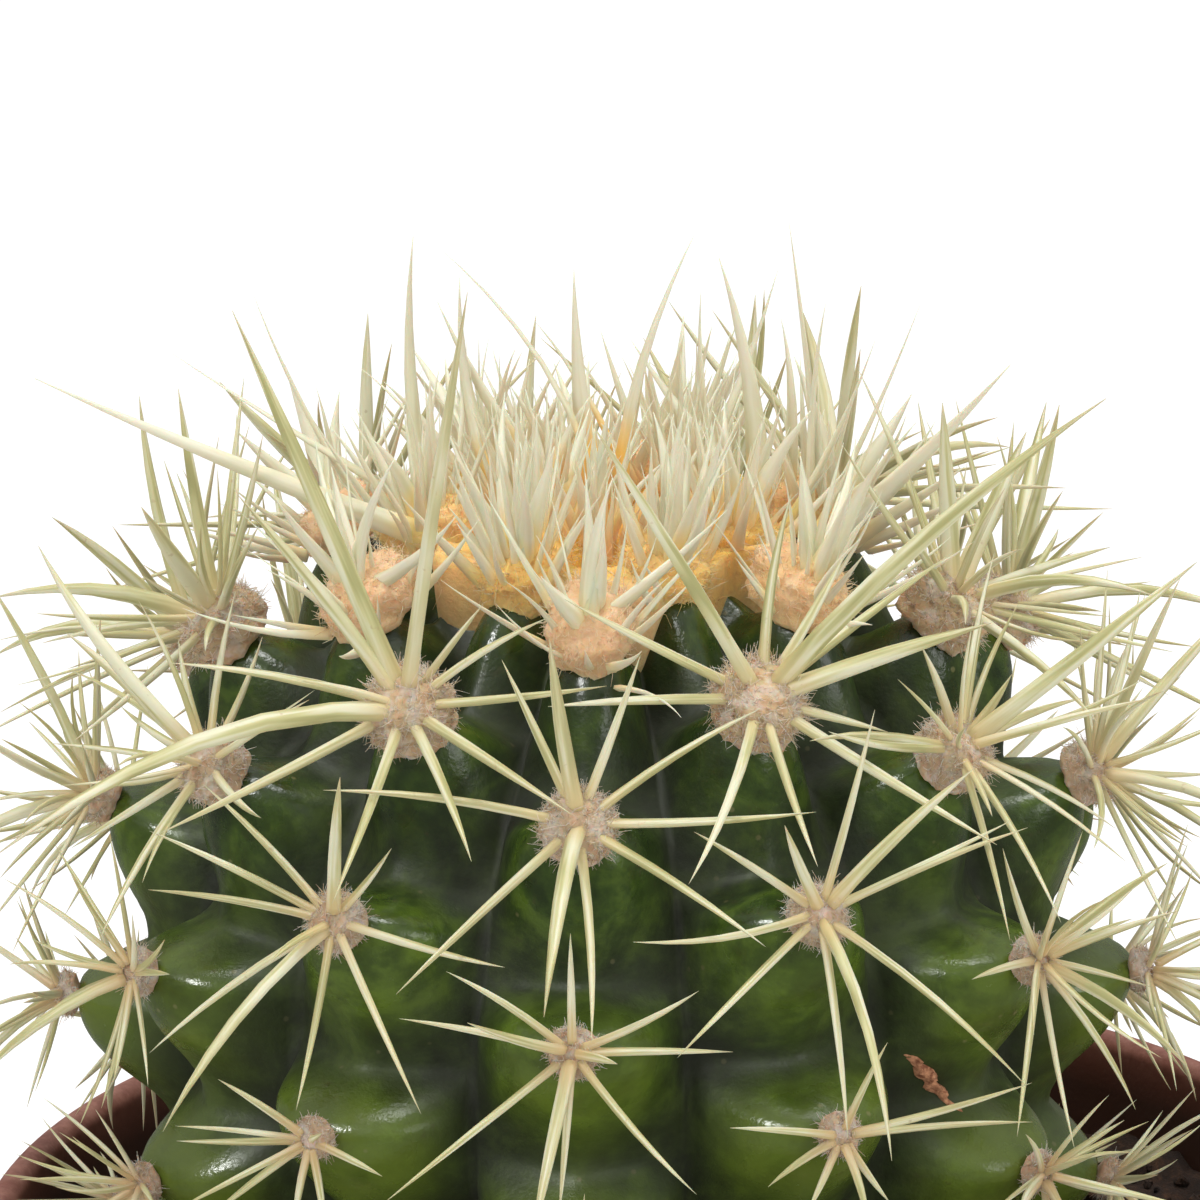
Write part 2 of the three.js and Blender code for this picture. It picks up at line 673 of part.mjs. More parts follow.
// A tall spine, whose lean and length are measured from where the top would be without its hollow.
function tallSpine([x, y, right, away, length, radius]) {
  const t = THREE.MathUtils.radToDeg(Math.asin(Math.hypot(x, y) / STEM.radius));
  const heading = THREE.MathUtils.radToDeg(Math.atan2(x, -y));
  const rise = stemNormal(t, heading).multiplyScalar(CROWN.rootHeight);
  const root = stemPoint(t, heading, 1 - sunk(t)).add(rise);
  const out = new THREE.Vector3(Math.tan(toRadians(right)), Math.tan(toRadians(away)), 1).normalize();
  const tip = stemPoint(t, heading, 1).add(rise).addScaledVector(out, length);
  return { areole: { at: root }, axis: [root, tip], radius };
}

// The felt that joins the newest areoles over the growing point, with its lobes and young spines.
function crownSolid(crownAreoles, spines) {
  const lowest = stemScale(0, 0);
  // A point of the stem's smoothed top at a polar angle, and some height over it.
  const over = (t, extra) => {
    const level = THREE.MathUtils.lerp(lowest, 1, THREE.MathUtils.smoothstep(t, 0, CROWN.smoothTo));
    const p = stemPoint(t, 90, level).sub(centre);
    const normal = stemNormal(t, 90);
    return [p.x + normal.x * extra, centre.z + p.z + normal.z * extra];
  };
  const turnedHere = (profile) => solidFrom(turned(profile, CROWN.sides).translate(centre.x, centre.y, 0));
  const top = [CROWN.edge, ...CROWN.felt].map(([t, thickness]) => over(t, thickness));
  const foot = over(CROWN.edge[0], 0);
  let felt = turnedHere([[0, foot[1]], foot, ...top]);
  const [across, along, height] = CROWN.lobe;
  for (const { at, right, up, normal, padRadius } of crownAreoles) {
    const lobe = new THREE.SphereGeometry(1, ...CROWN.lobeSides).rotateX(Math.PI / 2);
    lobe.scale(padRadius * across, padRadius * along, height);
    const basis = new THREE.Matrix4().makeBasis(right, up, normal);
    basis.setPosition(at.clone().addScaledVector(up, padRadius * CROWN.lobeRise));
    felt = felt.add(solidFrom(lobe.applyMatrix4(basis)));
  }
  const seat = CROWN.seatAngles.map((t) => over(t, 2 * GAP));
  felt = felt.subtract(turnedHere([[0, seat[0][1]], ...seat]));
  return fused([felt, ...spines.map(needleSolid)]);
}

// ---- the assembly ----
const finish = {
  pot: { color: 0x6b3a2e, roughness: 0.55, metalness: 0 },
  soil: { color: 0x2b1a12, roughness: 0.95, metalness: 0 },
  stem: { color: 0x2f5a2a, roughness: 0.35, metalness: 0 },
  crown: { color: 0xe8c98a, roughness: 0.8, metalness: 0 },
  spines: { color: 0xdcd3a6, roughness: 0.6, metalness: 0 },
};

const cactus = new THREE.Group();

function addPiece(name, solid, material) {
  const mesh = new THREE.Mesh(geometryFrom(solid), new THREE.MeshStandardMaterial(material));
  mesh.name = name;
  cactus.add(mesh);
}

const areoles = allAreoles();
const crownAreoles = areoles.filter((areole) => areole.turn <= TURN.crownBelow);
const freeAreoles = areoles.filter((areole) => areole.turn > TURN.crownBelow);
const newest = crownAreoles.flatMap((areole) => [...youngSpines(areole), ...skirtSpines(areole)]);
const crownSpines = [...newest, ...TALL.map(tallSpine)];
const placed = [...crownSpines];
for (const areole of freeAreoles) {
  spinePlans(areole).forEach((plan, index) => placeSpine(areole, plan, index, placed, areoles));
}

addPiece("pot", potSolid(), finish.pot);
addPiece("soil", soilSolid(), finish.soil);
addPiece("stem", stemSolid(), finish.stem);
addPiece("crown", crownSolid(crownAreoles, crownSpines), finish.crown);
for (const areole of freeAreoles) {
  const mine = placed.filter((spine) => spine.areole === areole);
  const bunch = fused([solidFrom(padGeometry(areole)), ...mine.map(needleSolid)]);
  addPiece(`areole_${areole.name}`, bunch, finish.spines);
}

export default cactus;
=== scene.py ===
import math

import bpy
import numpy as np
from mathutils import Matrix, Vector


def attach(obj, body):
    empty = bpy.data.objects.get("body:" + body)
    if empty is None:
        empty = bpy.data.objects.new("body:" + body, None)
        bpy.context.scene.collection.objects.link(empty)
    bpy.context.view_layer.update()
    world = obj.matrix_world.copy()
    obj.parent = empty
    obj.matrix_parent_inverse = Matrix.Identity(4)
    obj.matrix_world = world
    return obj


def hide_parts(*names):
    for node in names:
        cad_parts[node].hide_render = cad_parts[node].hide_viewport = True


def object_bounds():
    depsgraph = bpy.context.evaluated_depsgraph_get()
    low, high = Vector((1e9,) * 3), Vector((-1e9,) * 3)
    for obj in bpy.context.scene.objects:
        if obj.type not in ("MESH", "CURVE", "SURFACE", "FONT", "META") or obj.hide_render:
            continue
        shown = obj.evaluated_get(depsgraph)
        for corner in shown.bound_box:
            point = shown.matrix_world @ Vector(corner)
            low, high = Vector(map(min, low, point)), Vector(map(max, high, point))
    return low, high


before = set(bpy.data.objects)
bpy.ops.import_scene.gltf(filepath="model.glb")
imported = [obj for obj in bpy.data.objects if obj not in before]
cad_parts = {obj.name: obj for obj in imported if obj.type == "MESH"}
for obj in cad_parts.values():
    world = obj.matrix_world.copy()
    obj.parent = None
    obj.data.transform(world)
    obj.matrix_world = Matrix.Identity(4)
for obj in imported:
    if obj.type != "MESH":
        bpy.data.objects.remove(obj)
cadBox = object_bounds()
mm = 0.001
print("frame loaded:", len(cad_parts), "nodes")

# The plant's driving sizes, which are those of its solids, in millimetres and degrees.
plant = {
    "ribs": 13,
    "firstRib": -3.5,  # heading of the rib nearest the viewer, to the right of -Y
    "radius": 44.3,
    "crownHeight": 42.0,
    "baseDepth": 46.0,
    "centre": np.array([-6.8, 0.0, 123.3]),
    "crownDip": 0.16,  # share of the height that the growing point is sunk by
    "crownDipAngle": 20.0,
    "grooveDepth": 9.0,
    "grooveRound": 2.3,
    "grooveSharpen": 0.8,
    "grooveFrom": (8, 34),  # polar angles between which the ribs rise out of the smooth top
    "grooveTo": (128, 168),
    "notchDepth": 6.0,
    "notchAt": 0.72,  # share of the way down to the next areole
    "bottomAngle": 170.0,
    "rootLength": 22.0,
    "rootRadius": 6.0,
    "rootTip": 1.5,
    "turnShift": 6 / 13,  # each rib's areoles are this much of a turn below its left neighbour's
    "turnAngle": 23.7,
    "turnStart": 53.3,
    "crownBelow": -0.75,  # areoles above this turn are part of the crown
    "firstTurn": -2,
    "lastTurn": 3.05,
    "pads": (3.9, 1.9),  # radius of a young areole's solid cushion and of an old one's
    "padTurns": (-1.2, 1.9),
    "ageTurns": 4,  # turns over which an areole ages
    "padGap": 0.3,
    "padRootHeight": 0.4,
    "padRootSpread": 0.4,
}
ribPitch = 360 / plant["ribs"]


# tools for shapes
def smoothstep(x, low, high):  # 0 below low, 1 above high, a smooth S between
    s = np.clip((x - low) / (high - low), 0, 1)
    return s * s * (3 - 2 * s)


def unit(vectors):  # each vector divided by its length
    return vectors / np.maximum(np.linalg.norm(vectors, axis=-1, keepdims=True), 1e-12)


def evenTurns(count, shift=0):  # angles evenly round a circle, in radians
    return 2 * math.pi * (np.arange(count) + shift) / count


def rayAt(heading):  # the level direction of a heading in degrees: 0 is towards the viewer
    around = np.radians(heading)
    return np.stack([np.sin(around), -np.cos(around)], -1)


def waves(points, size, seed, count=9):
    # A lumpy field, mostly from -1 to 1: a sum of sine waves about `size` long in seeded directions.
    rng = np.random.default_rng(seed)
    run = unit(rng.normal(size=(count, 3))) * (2 * math.pi / size) * rng.uniform(0.6, 1.6, (count, 1))
    phase = rng.uniform(0, 2 * math.pi, count)
    return np.sin(points @ run.T + phase).sum(-1) / math.sqrt(count * 2)


def gridFaces(rows, columns):
    # Quads of a grid that closes round its columns, facing outwards when rows go down and columns
    # go anticlockwise seen from above.
    row, column = np.meshgrid(np.arange(rows - 1), np.arange(columns), indexing="ij")
    after = (column + 1) % columns
    corners = [row * columns + column, (row + 1) * columns + column, (row + 1) * columns + after]
    corners.append(row * columns + after)
    return np.stack(corners, -1).reshape(-1, 4)


def closedGrid(grid, top, bottom):
    # The points and faces of a grid of rows x columns points, closed by a fan to one point at each end.
    rows, columns = grid.shape[:2]
    ring = np.arange(columns)
    after = (ring + 1) % columns
    last = (rows - 1) * columns
    points = np.concatenate([grid.reshape(-1, 3), [top], [bottom]])
    topFan = np.stack([np.full(columns, rows * columns), ring, after], -1)
    bottomFan = np.stack([np.full(columns, rows * columns + 1), last + after, last + ring], -1)
    return points, [gridFaces(rows, columns), topFan, bottomFan]


def facesOfCopies(blocks, count, step):  # faces for `count` copies of a shape of `step` points
    starts = np.arange(count)[:, None, None] * step
    return [(block[None] + starts).reshape(-1, block.shape[1]) for block in blocks]


def putMesh(name, points, faces, material, smooth=True, **attributes):
    # One object from points in millimetres, blocks of faces and a value for each point in each attribute.
    mesh = bpy.data.meshes.new(name)
    mesh.from_pydata(points * mm, [], [face for block in faces for face in block.tolist()])
    for key, values in attributes.items():
        layer = mesh.attributes.new(key, "FLOAT", "POINT")
        layer.data.foreach_set("value", np.ascontiguousarray(values, np.float32).ravel())
    mesh.polygons.foreach_set("use_smooth", np.full(len(mesh.polygons), smooth))
    mesh.materials.append(material)
    piece = bpy.data.objects.new(name, mesh)
    bpy.context.scene.collection.objects.link(piece)
    return piece


def handOver(piece, slot, *nodes):  # the piece rides on the plant's one body; its slot is not used
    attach(piece, "root")
    if nodes:
        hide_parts(*nodes)
    return piece


def strands(paths, facing, halfWidth, halfDepth, sides):
    # Thin tapering bars: at each point of a path, `sides` points on an ellipse as wide as halfWidth
    # and as deep as halfDepth, whose flat side looks along `facing`. Both ends are closed.
    count, rings = paths.shape[:2]
    ahead = unit(np.gradient(paths, axis=1))
    across = unit(np.cross(facing[:, None, :], ahead))
    over = np.cross(ahead, across)
    turn = evenTurns(sides, 0.5)
    wide = halfWidth[..., None, None] * np.cos(turn)[:, None] * across[:, :, None, :]
    deep = halfDepth[..., None, None] * np.sin(turn)[:, None] * over[:, :, None, :]
    points = (paths[:, :, None, :] + wide + deep).reshape(-1, 3)
    strand, ring, side = np.meshgrid(np.arange(count), np.arange(rings - 1), np.arange(sides), indexing="ij")
    base = (strand * rings + ring) * sides
    after = (side + 1) % sides
    quads = np.stack([base + side, base + after, base + sides + after, base + sides + side], -1)
    first = np.arange(count)[:, None] * rings * sides
    rootCap = first + np.arange(sides)[::-1]
    tipCap = first + (rings - 1) * sides + np.arange(sides)
    return points, [quads.reshape(-1, 4), rootCap, tipCap]


def spread(values, rings, sides):  # one value for each strand, repeated for each of its points
    return np.broadcast_to(values[:, None, None], (len(values), rings, sides))


# the plant's form, by the same formulas as its solids
def ribPlace(t, heading):
    # How far across its rib (-0.5 to 0.5), and what share of the way from the areole above to the next.
    along = (heading - plant["firstRib"]) / ribPitch
    rib = np.round(along)
    turns = (t - plant["turnStart"]) / plant["turnAngle"] - rib * plant["turnShift"]
    return along - rib, turns - np.floor(turns)


def stemCut(t, heading):
    # The groove between two ribs, and the notch over the tubercle of the next areole down, which
    # juts out like a shelf, in millimetres.
    across, down = ribPlace(t, heading)
    side = np.abs(2 * across)
    notch = np.minimum(smoothstep(down, 0, plant["notchAt"]), smoothstep(1 - down, 0, 1 - plant["notchAt"]))
    groove = side ** (plant["grooveRound"] - plant["grooveSharpen"] * notch) * plant["grooveDepth"]
    fade = smoothstep(t, *plant["grooveFrom"]) * (1 - smoothstep(t, *plant["grooveTo"]))
    return fade * (groove + notch * (1 - side * side) * plant["notchDepth"])


def sunk(t):  # how far the top is sunk at a polar angle, as a share of the plain ellipsoid
    return plant["crownDip"] * np.exp(-((t / plant["crownDipAngle"]) ** 2))


def stemScale(t, heading):  # the stem's size there as a share of the plain ellipsoid
    return 1 - sunk(t) - stemCut(t, heading) / plant["radius"]


def stemPoint(t, heading, scale):
    # A point of the ellipsoid at polar angle t and a heading, scaled about its centre.
    polar, around = np.radians(t), np.radians(heading)
    height = np.where(t < 90, plant["crownHeight"], plant["baseDepth"])
    level = plant["radius"] * np.sin(polar) * scale
    point = np.stack([level * np.sin(around), -level * np.cos(around), height * np.cos(polar) * scale], -1)
    return point + plant["centre"]


def skinPoint(t, heading, raised=0.0):  # a point on the skin, or so many millimetres off it
    return stemPoint(t, heading, stemScale(t, heading) + raised / plant["radius"])


def stemNormal(t, heading):  # the ellipsoid's outward normal
    polar, around = np.radians(t), np.radians(heading)
    height = np.where(t < 90, plant["crownHeight"], plant["baseDepth"])
    level = np.sin(polar) / plant["radius"]
    return unit(np.stack([level * np.sin(around), -level * np.cos(around), np.cos(polar) / height], -1))


def areoleList():
    # Every areole: its rib, turn, place, normal, the directions right and up on the skin, the
    # radius of its solid's cushion, its age from 0 to 1, and the size its felt is seen to have.
    found = []
    for rib in range(plant["ribs"]):
        turn = rib * plant["turnShift"] % 1 + plant["firstTurn"]
        while turn <= plant["lastTurn"]:
            t = plant["turnStart"] + plant["turnAngle"] * turn
            heading = plant["firstRib"] + rib * ribPitch
            normal = stemNormal(t, heading)
            right = np.array([math.cos(math.radians(heading)), math.sin(math.radians(heading)), 0])
            worn = smoothstep(turn, *plant["padTurns"])
            pad = plant["pads"][0] * (1 - worn) + plant["pads"][1] * worn
            row = math.floor(turn - plant["crownBelow"]) + 1
            found.append({
                "name": f"areole_rib{rib + 1:02d}_row{row}", "rib": rib, "turn": turn, "t": t,
                "at": stemPoint(t, heading, 1 - sunk(t)), "normal": normal, "right": right,
                "up": np.cross(normal, right), "pad": pad,
                "age": min(max((turn + 1) / plant["ageTurns"], 0), 1),
                "size": float(np.interp(turn, felt["turns"], felt["sizes"])),
            })
            turn += 1
    return found


# tools for materials
def newMaterial(name, constants=None):  # what is the same all over is set on the shader's own sockets
    material = bpy.data.materials.new(name)
    material.use_nodes = True
    shader = material.node_tree.nodes["Principled BSDF"]
    for key, value in (constants or {}).items():
        shader.inputs[key].default_value = value
    return material, material.node_tree, shader


def letsLight(weight, depth, glow, strength):
    # Thin or woolly stuff: light goes `depth` millimetres into it, and a faint glow, which is painted
    # light, stands for what comes through from behind and lifts the shaded sides.
    return {
        "Subsurface Weight": weight, "Subsurface Scale": depth * mm,
        "Emission Color": (*glow, 1), "Emission Strength": strength,
    }


def node(tree, kind, inputs=None, **settings):  # with its settings, and its inputs linked or set
    made = tree.nodes.new(kind)
    for key, value in settings.items():
        setattr(made, key, value)
    for key, value in (inputs or {}).items():
        if isinstance(value, bpy.types.NodeSocket):
            tree.links.new(value, made.inputs[key])
        else:
            made.inputs[key].default_value = value
    return made


def placeOf(tree):  # where a point of the piece is, in metres
    return node(tree, "ShaderNodeTexCoord").outputs["Object"]


def valuesOf(tree, *names):  # values that the mesh holds for each point
    return [node(tree, "ShaderNodeAttribute", attribute_name=name).outputs["Fac"] for name in names]


def grain(tree, size, detail, roughness=0.55, distortion=0.0):
    # Noise whose lumps are about `size` millimetres across.
    values = {"Vector": placeOf(tree), "Scale": 1000 / size, "Detail": detail}
    values |= {"Roughness": roughness, "Distortion": distortion}
    return node(tree, "ShaderNodeTexNoise", values).outputs["Fac"]


def ramp(tree, value, *stops):  # colours at places from 0 to 1
    made = node(tree, "ShaderNodeValToRGB", {"Fac": value})
    elements = made.color_ramp.elements
    while len(elements) < len(stops):
        elements.new(0.5)
    for element, (place, colour) in zip(elements, stops):
        element.position = place
        element.color = (*colour, 1)
    return made.outputs["Color"]


def fit(tree, value, low, high, outLow=0.0, outHigh=1.0):  # a value carried from one range to another
    values = {"Value": value, "From Min": low, "From Max": high, "To Min": outLow, "To Max": outHigh}
    return node(tree, "ShaderNodeMapRange", values).outputs["Result"]


def layered(tree, colour, *layers):  # a colour with others laid over it, each by its share from 0 to 1
    for share, over in layers:
        over = (*over, 1) if isinstance(over, tuple) else over
        made = node(tree, "ShaderNodeMix", {0: share, 6: colour, 7: over}, data_type="RGBA")
        colour = made.outputs[2]
    return colour


def times(tree, first, second, plus=0.0):  # first * second + plus
    return node(tree, "ShaderNodeMath", {0: first, 1: second, 2: plus}, operation="MULTIPLY_ADD").outputs[0]


def relief(tree, shader, height, depth):  # bump that is `depth` millimetres deep
    bump = node(tree, "ShaderNodeBump", {"Height": height, "Distance": depth * mm, "Strength": 1.0})
    tree.links.new(bump.outputs["Normal"], shader.inputs["Normal"])


def colourBy(tree, shader, colour, roughness=None):  # links what differs from place to place
    tree.links.new(colour, shader.inputs["Base Color"])
    if roughness is not None:
        tree.links.new(roughness, shader.inputs["Roughness"])


pot = {  # in millimetres, as its solid
    "height": 100.0, "rimRadius": 60.0, "footRadius": 41.0, "wall": 1.4, "floor": 2.0,
    "collarHeight": 17.0, "collarTaper": 1.2, "collarStep": 1.8, "collarShoulder": 1.5,
    "lipHeight": 2.6, "lipWidth": 1.2, "bevel": 0.8, "innerRise": 0.4,
    "sides": 180, "drainCount": 6, "drainRadius": 3.5, "drainRing": 29.0, "drainSides": 32,
    "drill": (6.0, -3.0),  # the heights of a drain drill's two ends
    "edge": 0.55,  # how round its edges are
    "edgeSteps": 5,
    "sharpFrom": 40,  # degrees; edges past it aren't shaded smooth
    "scuffDepth": 3,  # how far down the lip is scuffed
    "innerShadeFrom": (0.5, 5),  # below the rim, where the painted shade on the inside sets in
    "filmFade": (0.15, 2),  # how far in from the wall and up from the collar's foot it does
}
collarZ = pot["height"] - pot["collarHeight"]
collarTop = pot["rimRadius"] - pot["lipWidth"]
collarBottom = collarTop - pot["collarTaper"]
bodyTop = collarBottom - pot["collarStep"]


def potMaterial():
    # Satin red-brown plastic, cloudy and dusty, paler where the lip is scuffed, with painted shade
    # darkening the inside wall below the rim.
    material, tree, shader = newMaterial("redBrownPlastic")
    x, y, height = node(tree, "ShaderNodeSeparateXYZ", {"Vector": placeOf(tree)}).outputs
    lip = fit(tree, height, (pot["height"] - pot["scuffDepth"]) * mm, pot["height"] * mm)
    scuff = times(tree, lip, fit(tree, grain(tree, 2.2, 6, 0.7), 0.40, 0.62))
    level = node(tree, "ShaderNodeCombineXYZ", {"X": x, "Y": y}).outputs["Vector"]
    out = node(tree, "ShaderNodeVectorMath", {0: level}, operation="LENGTH").outputs["Value"]
    fade = pot["filmFade"]
    inside = fit(tree, out, collarBottom * mm, (collarBottom - fade[0]) * mm)
    inside = times(tree, inside, fit(tree, height, collarZ * mm, (collarZ + fade[1]) * mm))
    below = fit(tree, height, *((pot["height"] - depth) * mm for depth in pot["innerShadeFrom"]), 0, 0.88)
    colour = layered(
        tree, ramp(tree, grain(tree, 14, 5), (0.25, (0.17, 0.050, 0.032)), (0.75, (0.235, 0.078, 0.050))),
        (times(tree, scuff, 0.55), (0.42, 0.20, 0.145)),
        (fit(tree, grain(tree, 0.7, 3), 0.60, 0.74, 0, 0.35), (0.30, 0.17, 0.12)),  # dust
        # painted shade on the inner wall, deeper further below the rim
        (times(tree, inside, below), (0.040, 0.017, 0.010)),
    )
    colourBy(tree, shader, colour, fit(tree, grain(tree, 5, 4), 0.3, 0.7, 0.42, 0.60))
    relief(tree, shader, grain(tree, 0.45, 3), 0.03)
    return material


def roundedProfile(corners, radius, steps):
    # The profile with each inner corner replaced by a quadratic curve that starts and ends `radius`
    # away from it, or less where a side is short.
    corners = np.array(corners, float)
    before, at, after = corners[:-2], corners[1:-1], corners[2:]
    reach = [np.minimum(radius, 0.45 * np.linalg.norm(end - at, axis=1))[:, None] for end in (before, after)]
    start, end = at + unit(before - at) * reach[0], at + unit(after - at) * reach[1]
    s = np.linspace(0, 1, steps)[None, :, None]
    curves = (1 - s) ** 2 * start[:, None] + 2 * s * (1 - s) * at[:, None] + s * s * end[:, None]
    return np.concatenate([corners[:1], curves.reshape(-1, 2), corners[-1:]])


def turnedPoints(profile, sides):  # each profile point (radius, height) carried round the vertical
    turn = evenTurns(sides)
    radius, height = profile[:, :1], profile[:, 1:]
    level = np.broadcast_to(height, (len(profile), sides))
    return np.stack([radius * np.sin(turn), -radius * np.cos(turn), level], -1)


def makePot(material):
    # The profile, from the middle of the floor up the inside, over the lip and down to the foot,
    # carried round the vertical, with the drain holes cut by a Boolean that is then applied.
    inner = pot["wall"]
    lipFoot = pot["height"] - pot["lipHeight"]
    bevel, shoulder, rise = pot["bevel"], pot["collarShoulder"], pot["innerRise"]
    corners = [
        (0, pot["floor"]), (pot["footRadius"] - inner, pot["floor"]),
        (bodyTop - inner, collarZ - shoulder + rise), (collarBottom - inner, collarZ + rise),
        (collarTop - inner, pot["height"] - bevel), (collarTop - inner + bevel, pot["height"]),
        (pot["rimRadius"] - bevel, pot["height"]), (pot["rimRadius"], pot["height"] - bevel),
        (pot["rimRadius"], lipFoot + bevel / 2), (collarTop, lipFoot), (collarBottom, collarZ),
        (bodyTop, collarZ - shoulder), (pot["footRadius"], bevel), (pot["footRadius"] - bevel, 0), (0, 0),
    ]
    profile = roundedProfile(corners, pot["edge"], pot["edgeSteps"])
    grid = turnedPoints(profile[1:-1], pot["sides"])
    points, faces = closedGrid(grid, (0, 0, pot["floor"]), (0, 0, 0))
    piece = putMesh("nurseryPot", points, faces, material)
    drill = turnedPoints(np.array([(pot["drainRadius"], end) for end in pot["drill"]]), pot["drainSides"])
    holePoints, holeFaces = closedGrid(drill, *((0, 0, end) for end in pot["drill"]))
    turn = evenTurns(pot["drainCount"])
    shift = pot["drainRing"] * np.stack([np.cos(turn), np.sin(turn), 0 * turn], -1)
    allPoints = (holePoints[None] + shift[:, None]).reshape(-1, 3)
    allFaces = facesOfCopies(holeFaces, pot["drainCount"], len(holePoints))
    drills = putMesh("drainDrills", allPoints, allFaces, material)
    cut = piece.modifiers.new("drain", "BOOLEAN")
    cut.object, cut.operation, cut.solver = drills, "DIFFERENCE", "EXACT"
    cutMesh = bpy.data.meshes.new_from_object(piece.evaluated_get(bpy.context.evaluated_depsgraph_get()))
    piece.modifiers.clear()
    piece.data = cutMesh
    piece.data.set_sharp_from_angle(angle=math.radians(pot["sharpFrom"]))
    bpy.data.objects.remove(drills)
    return handOver(piece, "pot_plastic", "pot")


soil = {
    "surface": 91.0, "lump": 1.1, "crumbLump": 0.7, "crumbSize": 5.0, "columns": 220, "rings": 60,
    "tuck": 0.35,  # how far the surface runs in under the skin and the pot's wall
    "wallOut": 0.55,  # how much further out the inner wall is at the surface than at the collar's foot
    "side": ((1.9, 1.2), (1.8, -1.6), (1.9, 0.3)),  # in and up from the collar's foot, shoulder and floor
    "socketDepths": (6.0, 14.0),  # the socket round the stem, below the surface ...
    "socketShares": (0.75, 0.3),  # ... how wide it is there ...
    "socketEnd": 16,  # ... and where it ends
    "searchAngles": (110.0, 168.0),  # polar angles between which the skin goes under
    "searchSteps": 24,
    "spotMargin": 3.4,  # how far in from the collar's foot the outermost crumbs lie
}
crumb = {
    "count": 1500, "rows": (40, 90, 140), "sides": 6, "lift": 0.25,
    "size": (0.35, 1.0),  # the least radius, and what the largest have more
    "stretch": (0.6, 1.25),
    "uneven": (0.75, 1.25),
}
fibre = {
    "count": 230, "rings": 6, "sides": 3, "lift": 0.2, "length": (2, 9), "bend": (-0.6, 0.6),
    "rise": (-0.05, 0.35),  # of its run
    "bendRise": (-0.5, 0.2),
    "radius": (0.07, 0.17),
    "thinning": 0.6,
    "margin": 2.2,
}


def lumpiness(x, y):  # the soil's broad lumps, three waves that cross each other
    first = 0.5 * np.sin(0.31 * x + 0.17 * y) + 0.3 * np.sin(0.23 * y - 0.41 * x + 2)
    return soil["lump"] * (first + 0.3 * np.sin(0.57 * y + 1))


def soilHeight(x, y):  # the soil's surface: its level, broad lumps and two sizes of fine ones
    flat = np.stack([x, y, 0 * x], -1)
    fine = waves(flat, soil["crumbSize"], 11) + 0.5 * waves(flat, soil["crumbSize"] / 2.6, 12)
    return soil["surface"] + lumpiness(x, y) + soil["crumbLump"] * fine


def skinAtSoil(heading):  # where the skin meets the soil, found by halving the interval
    low, high = (np.full_like(heading, angle) for angle in soil["searchAngles"])
    for _ in range(soil["searchSteps"]):
        middle = (low + high) / 2
        point = skinPoint(middle, heading)
        isAbove = point[..., 2] > soilHeight(point[..., 0], point[..., 1])
        low, high = np.where(isAbove, middle, low), np.where(isAbove, high, middle)
    return point


def soilMaterial():
    # Damp dark peat, nearly black in its hollows, with brown crumbs.
    material, tree, shader = newMaterial("darkPeat", {"Roughness": 0.95})
    stops = (0.30, (0.008, 0.0040, 0.0020)), (0.50, (0.030, 0.0135, 0.0065)), (0.70, (0.105, 0.045, 0.018))
    colourBy(tree, shader, ramp(tree, grain(tree, 2.4, 8, 0.7), *stops))
    relief(tree, shader, grain(tree, 0.9, 6, 0.7), 0.5)
    return material


def fibreMaterial():
    # Orange-brown coir, each fibre a little different.
    material, tree, shader = newMaterial("coirFibre", {"Roughness": 0.8})
    stops = (0.0, (0.060, 0.022, 0.010)), (0.6, (0.20, 0.075, 0.028)), (1.0, (0.36, 0.20, 0.10))
    colourBy(tree, shader, ramp(tree, *valuesOf(tree, "tint"), *stops))
    return material


def makeSoil(material):
    # Rings from the skin out to the pot's wall carry the surface; then the wall, the floor, and a
    # socket round the buried end of the stem.
    heading = 360 * np.arange(soil["columns"]) / soil["columns"]
    ray, middle = rayAt(heading), plant["centre"][:2]
    edge = ray * (collarBottom - pot["wall"] + soil["wallOut"] + soil["tuck"])
    near = skinAtSoil(heading)[:, :2]
    near -= unit(near - middle) * soil["tuck"]
    share = np.linspace(0, 1, soil["rings"])[:, None, None]
    flat = near * (1 - share) + edge * share
    top = np.concatenate([flat, soilHeight(flat[..., 0], flat[..., 1])[..., None]], -1)
    turns = ((collarBottom, collarZ), (bodyTop, collarZ), (pot["footRadius"], pot["floor"]))
    below = [(r - inward, z + up) for (r, z), (inward, up) in zip(turns, soil["side"])]
    sides = np.stack([np.concatenate([ray * r, np.full((len(ray), 1), z)], -1) for r, z in below])
    socket = middle + (near - middle) * np.array(soil["socketShares"])[:, None, None]
    socketTop = soilHeight(near[:, 0], near[:, 1]) - np.array(soil["socketDepths"])[:, None]
    inside = np.concatenate([socket, socketTop[..., None]], -1)[::-1]
    grid = np.concatenate([inside, top, sides])
    bottom = (0, 0, below[-1][1])
    points, faces = closedGrid(grid, (*middle, soil["surface"] - soil["socketEnd"]), bottom)
    return handOver(putMesh("peatSoil", points, faces, material), "soil_peat", "soil")


def soilSpots(count, seed):
    # Seeded places on the soil's surface, evenly over the ring between the skin and the pot.
    rng = np.random.default_rng(seed)
    heading = rng.uniform(0, 360, count)
    middle, ray = plant["centre"][:2], rayAt(heading)
    near = np.linalg.norm(skinAtSoil(heading)[:, :2] - middle, axis=1)
    along = ray @ middle
    far = -along + np.sqrt(along ** 2 - middle[0] ** 2 + (collarBottom - soil["spotMargin"]) ** 2)
    reach = np.sqrt(near ** 2 + (far ** 2 - near ** 2) * rng.uniform(0, 1, count))
    flat = middle + ray * reach[:, None]
    return rng, np.concatenate([flat, soilHeight(flat[:, 0], flat[:, 1])[:, None]], -1)


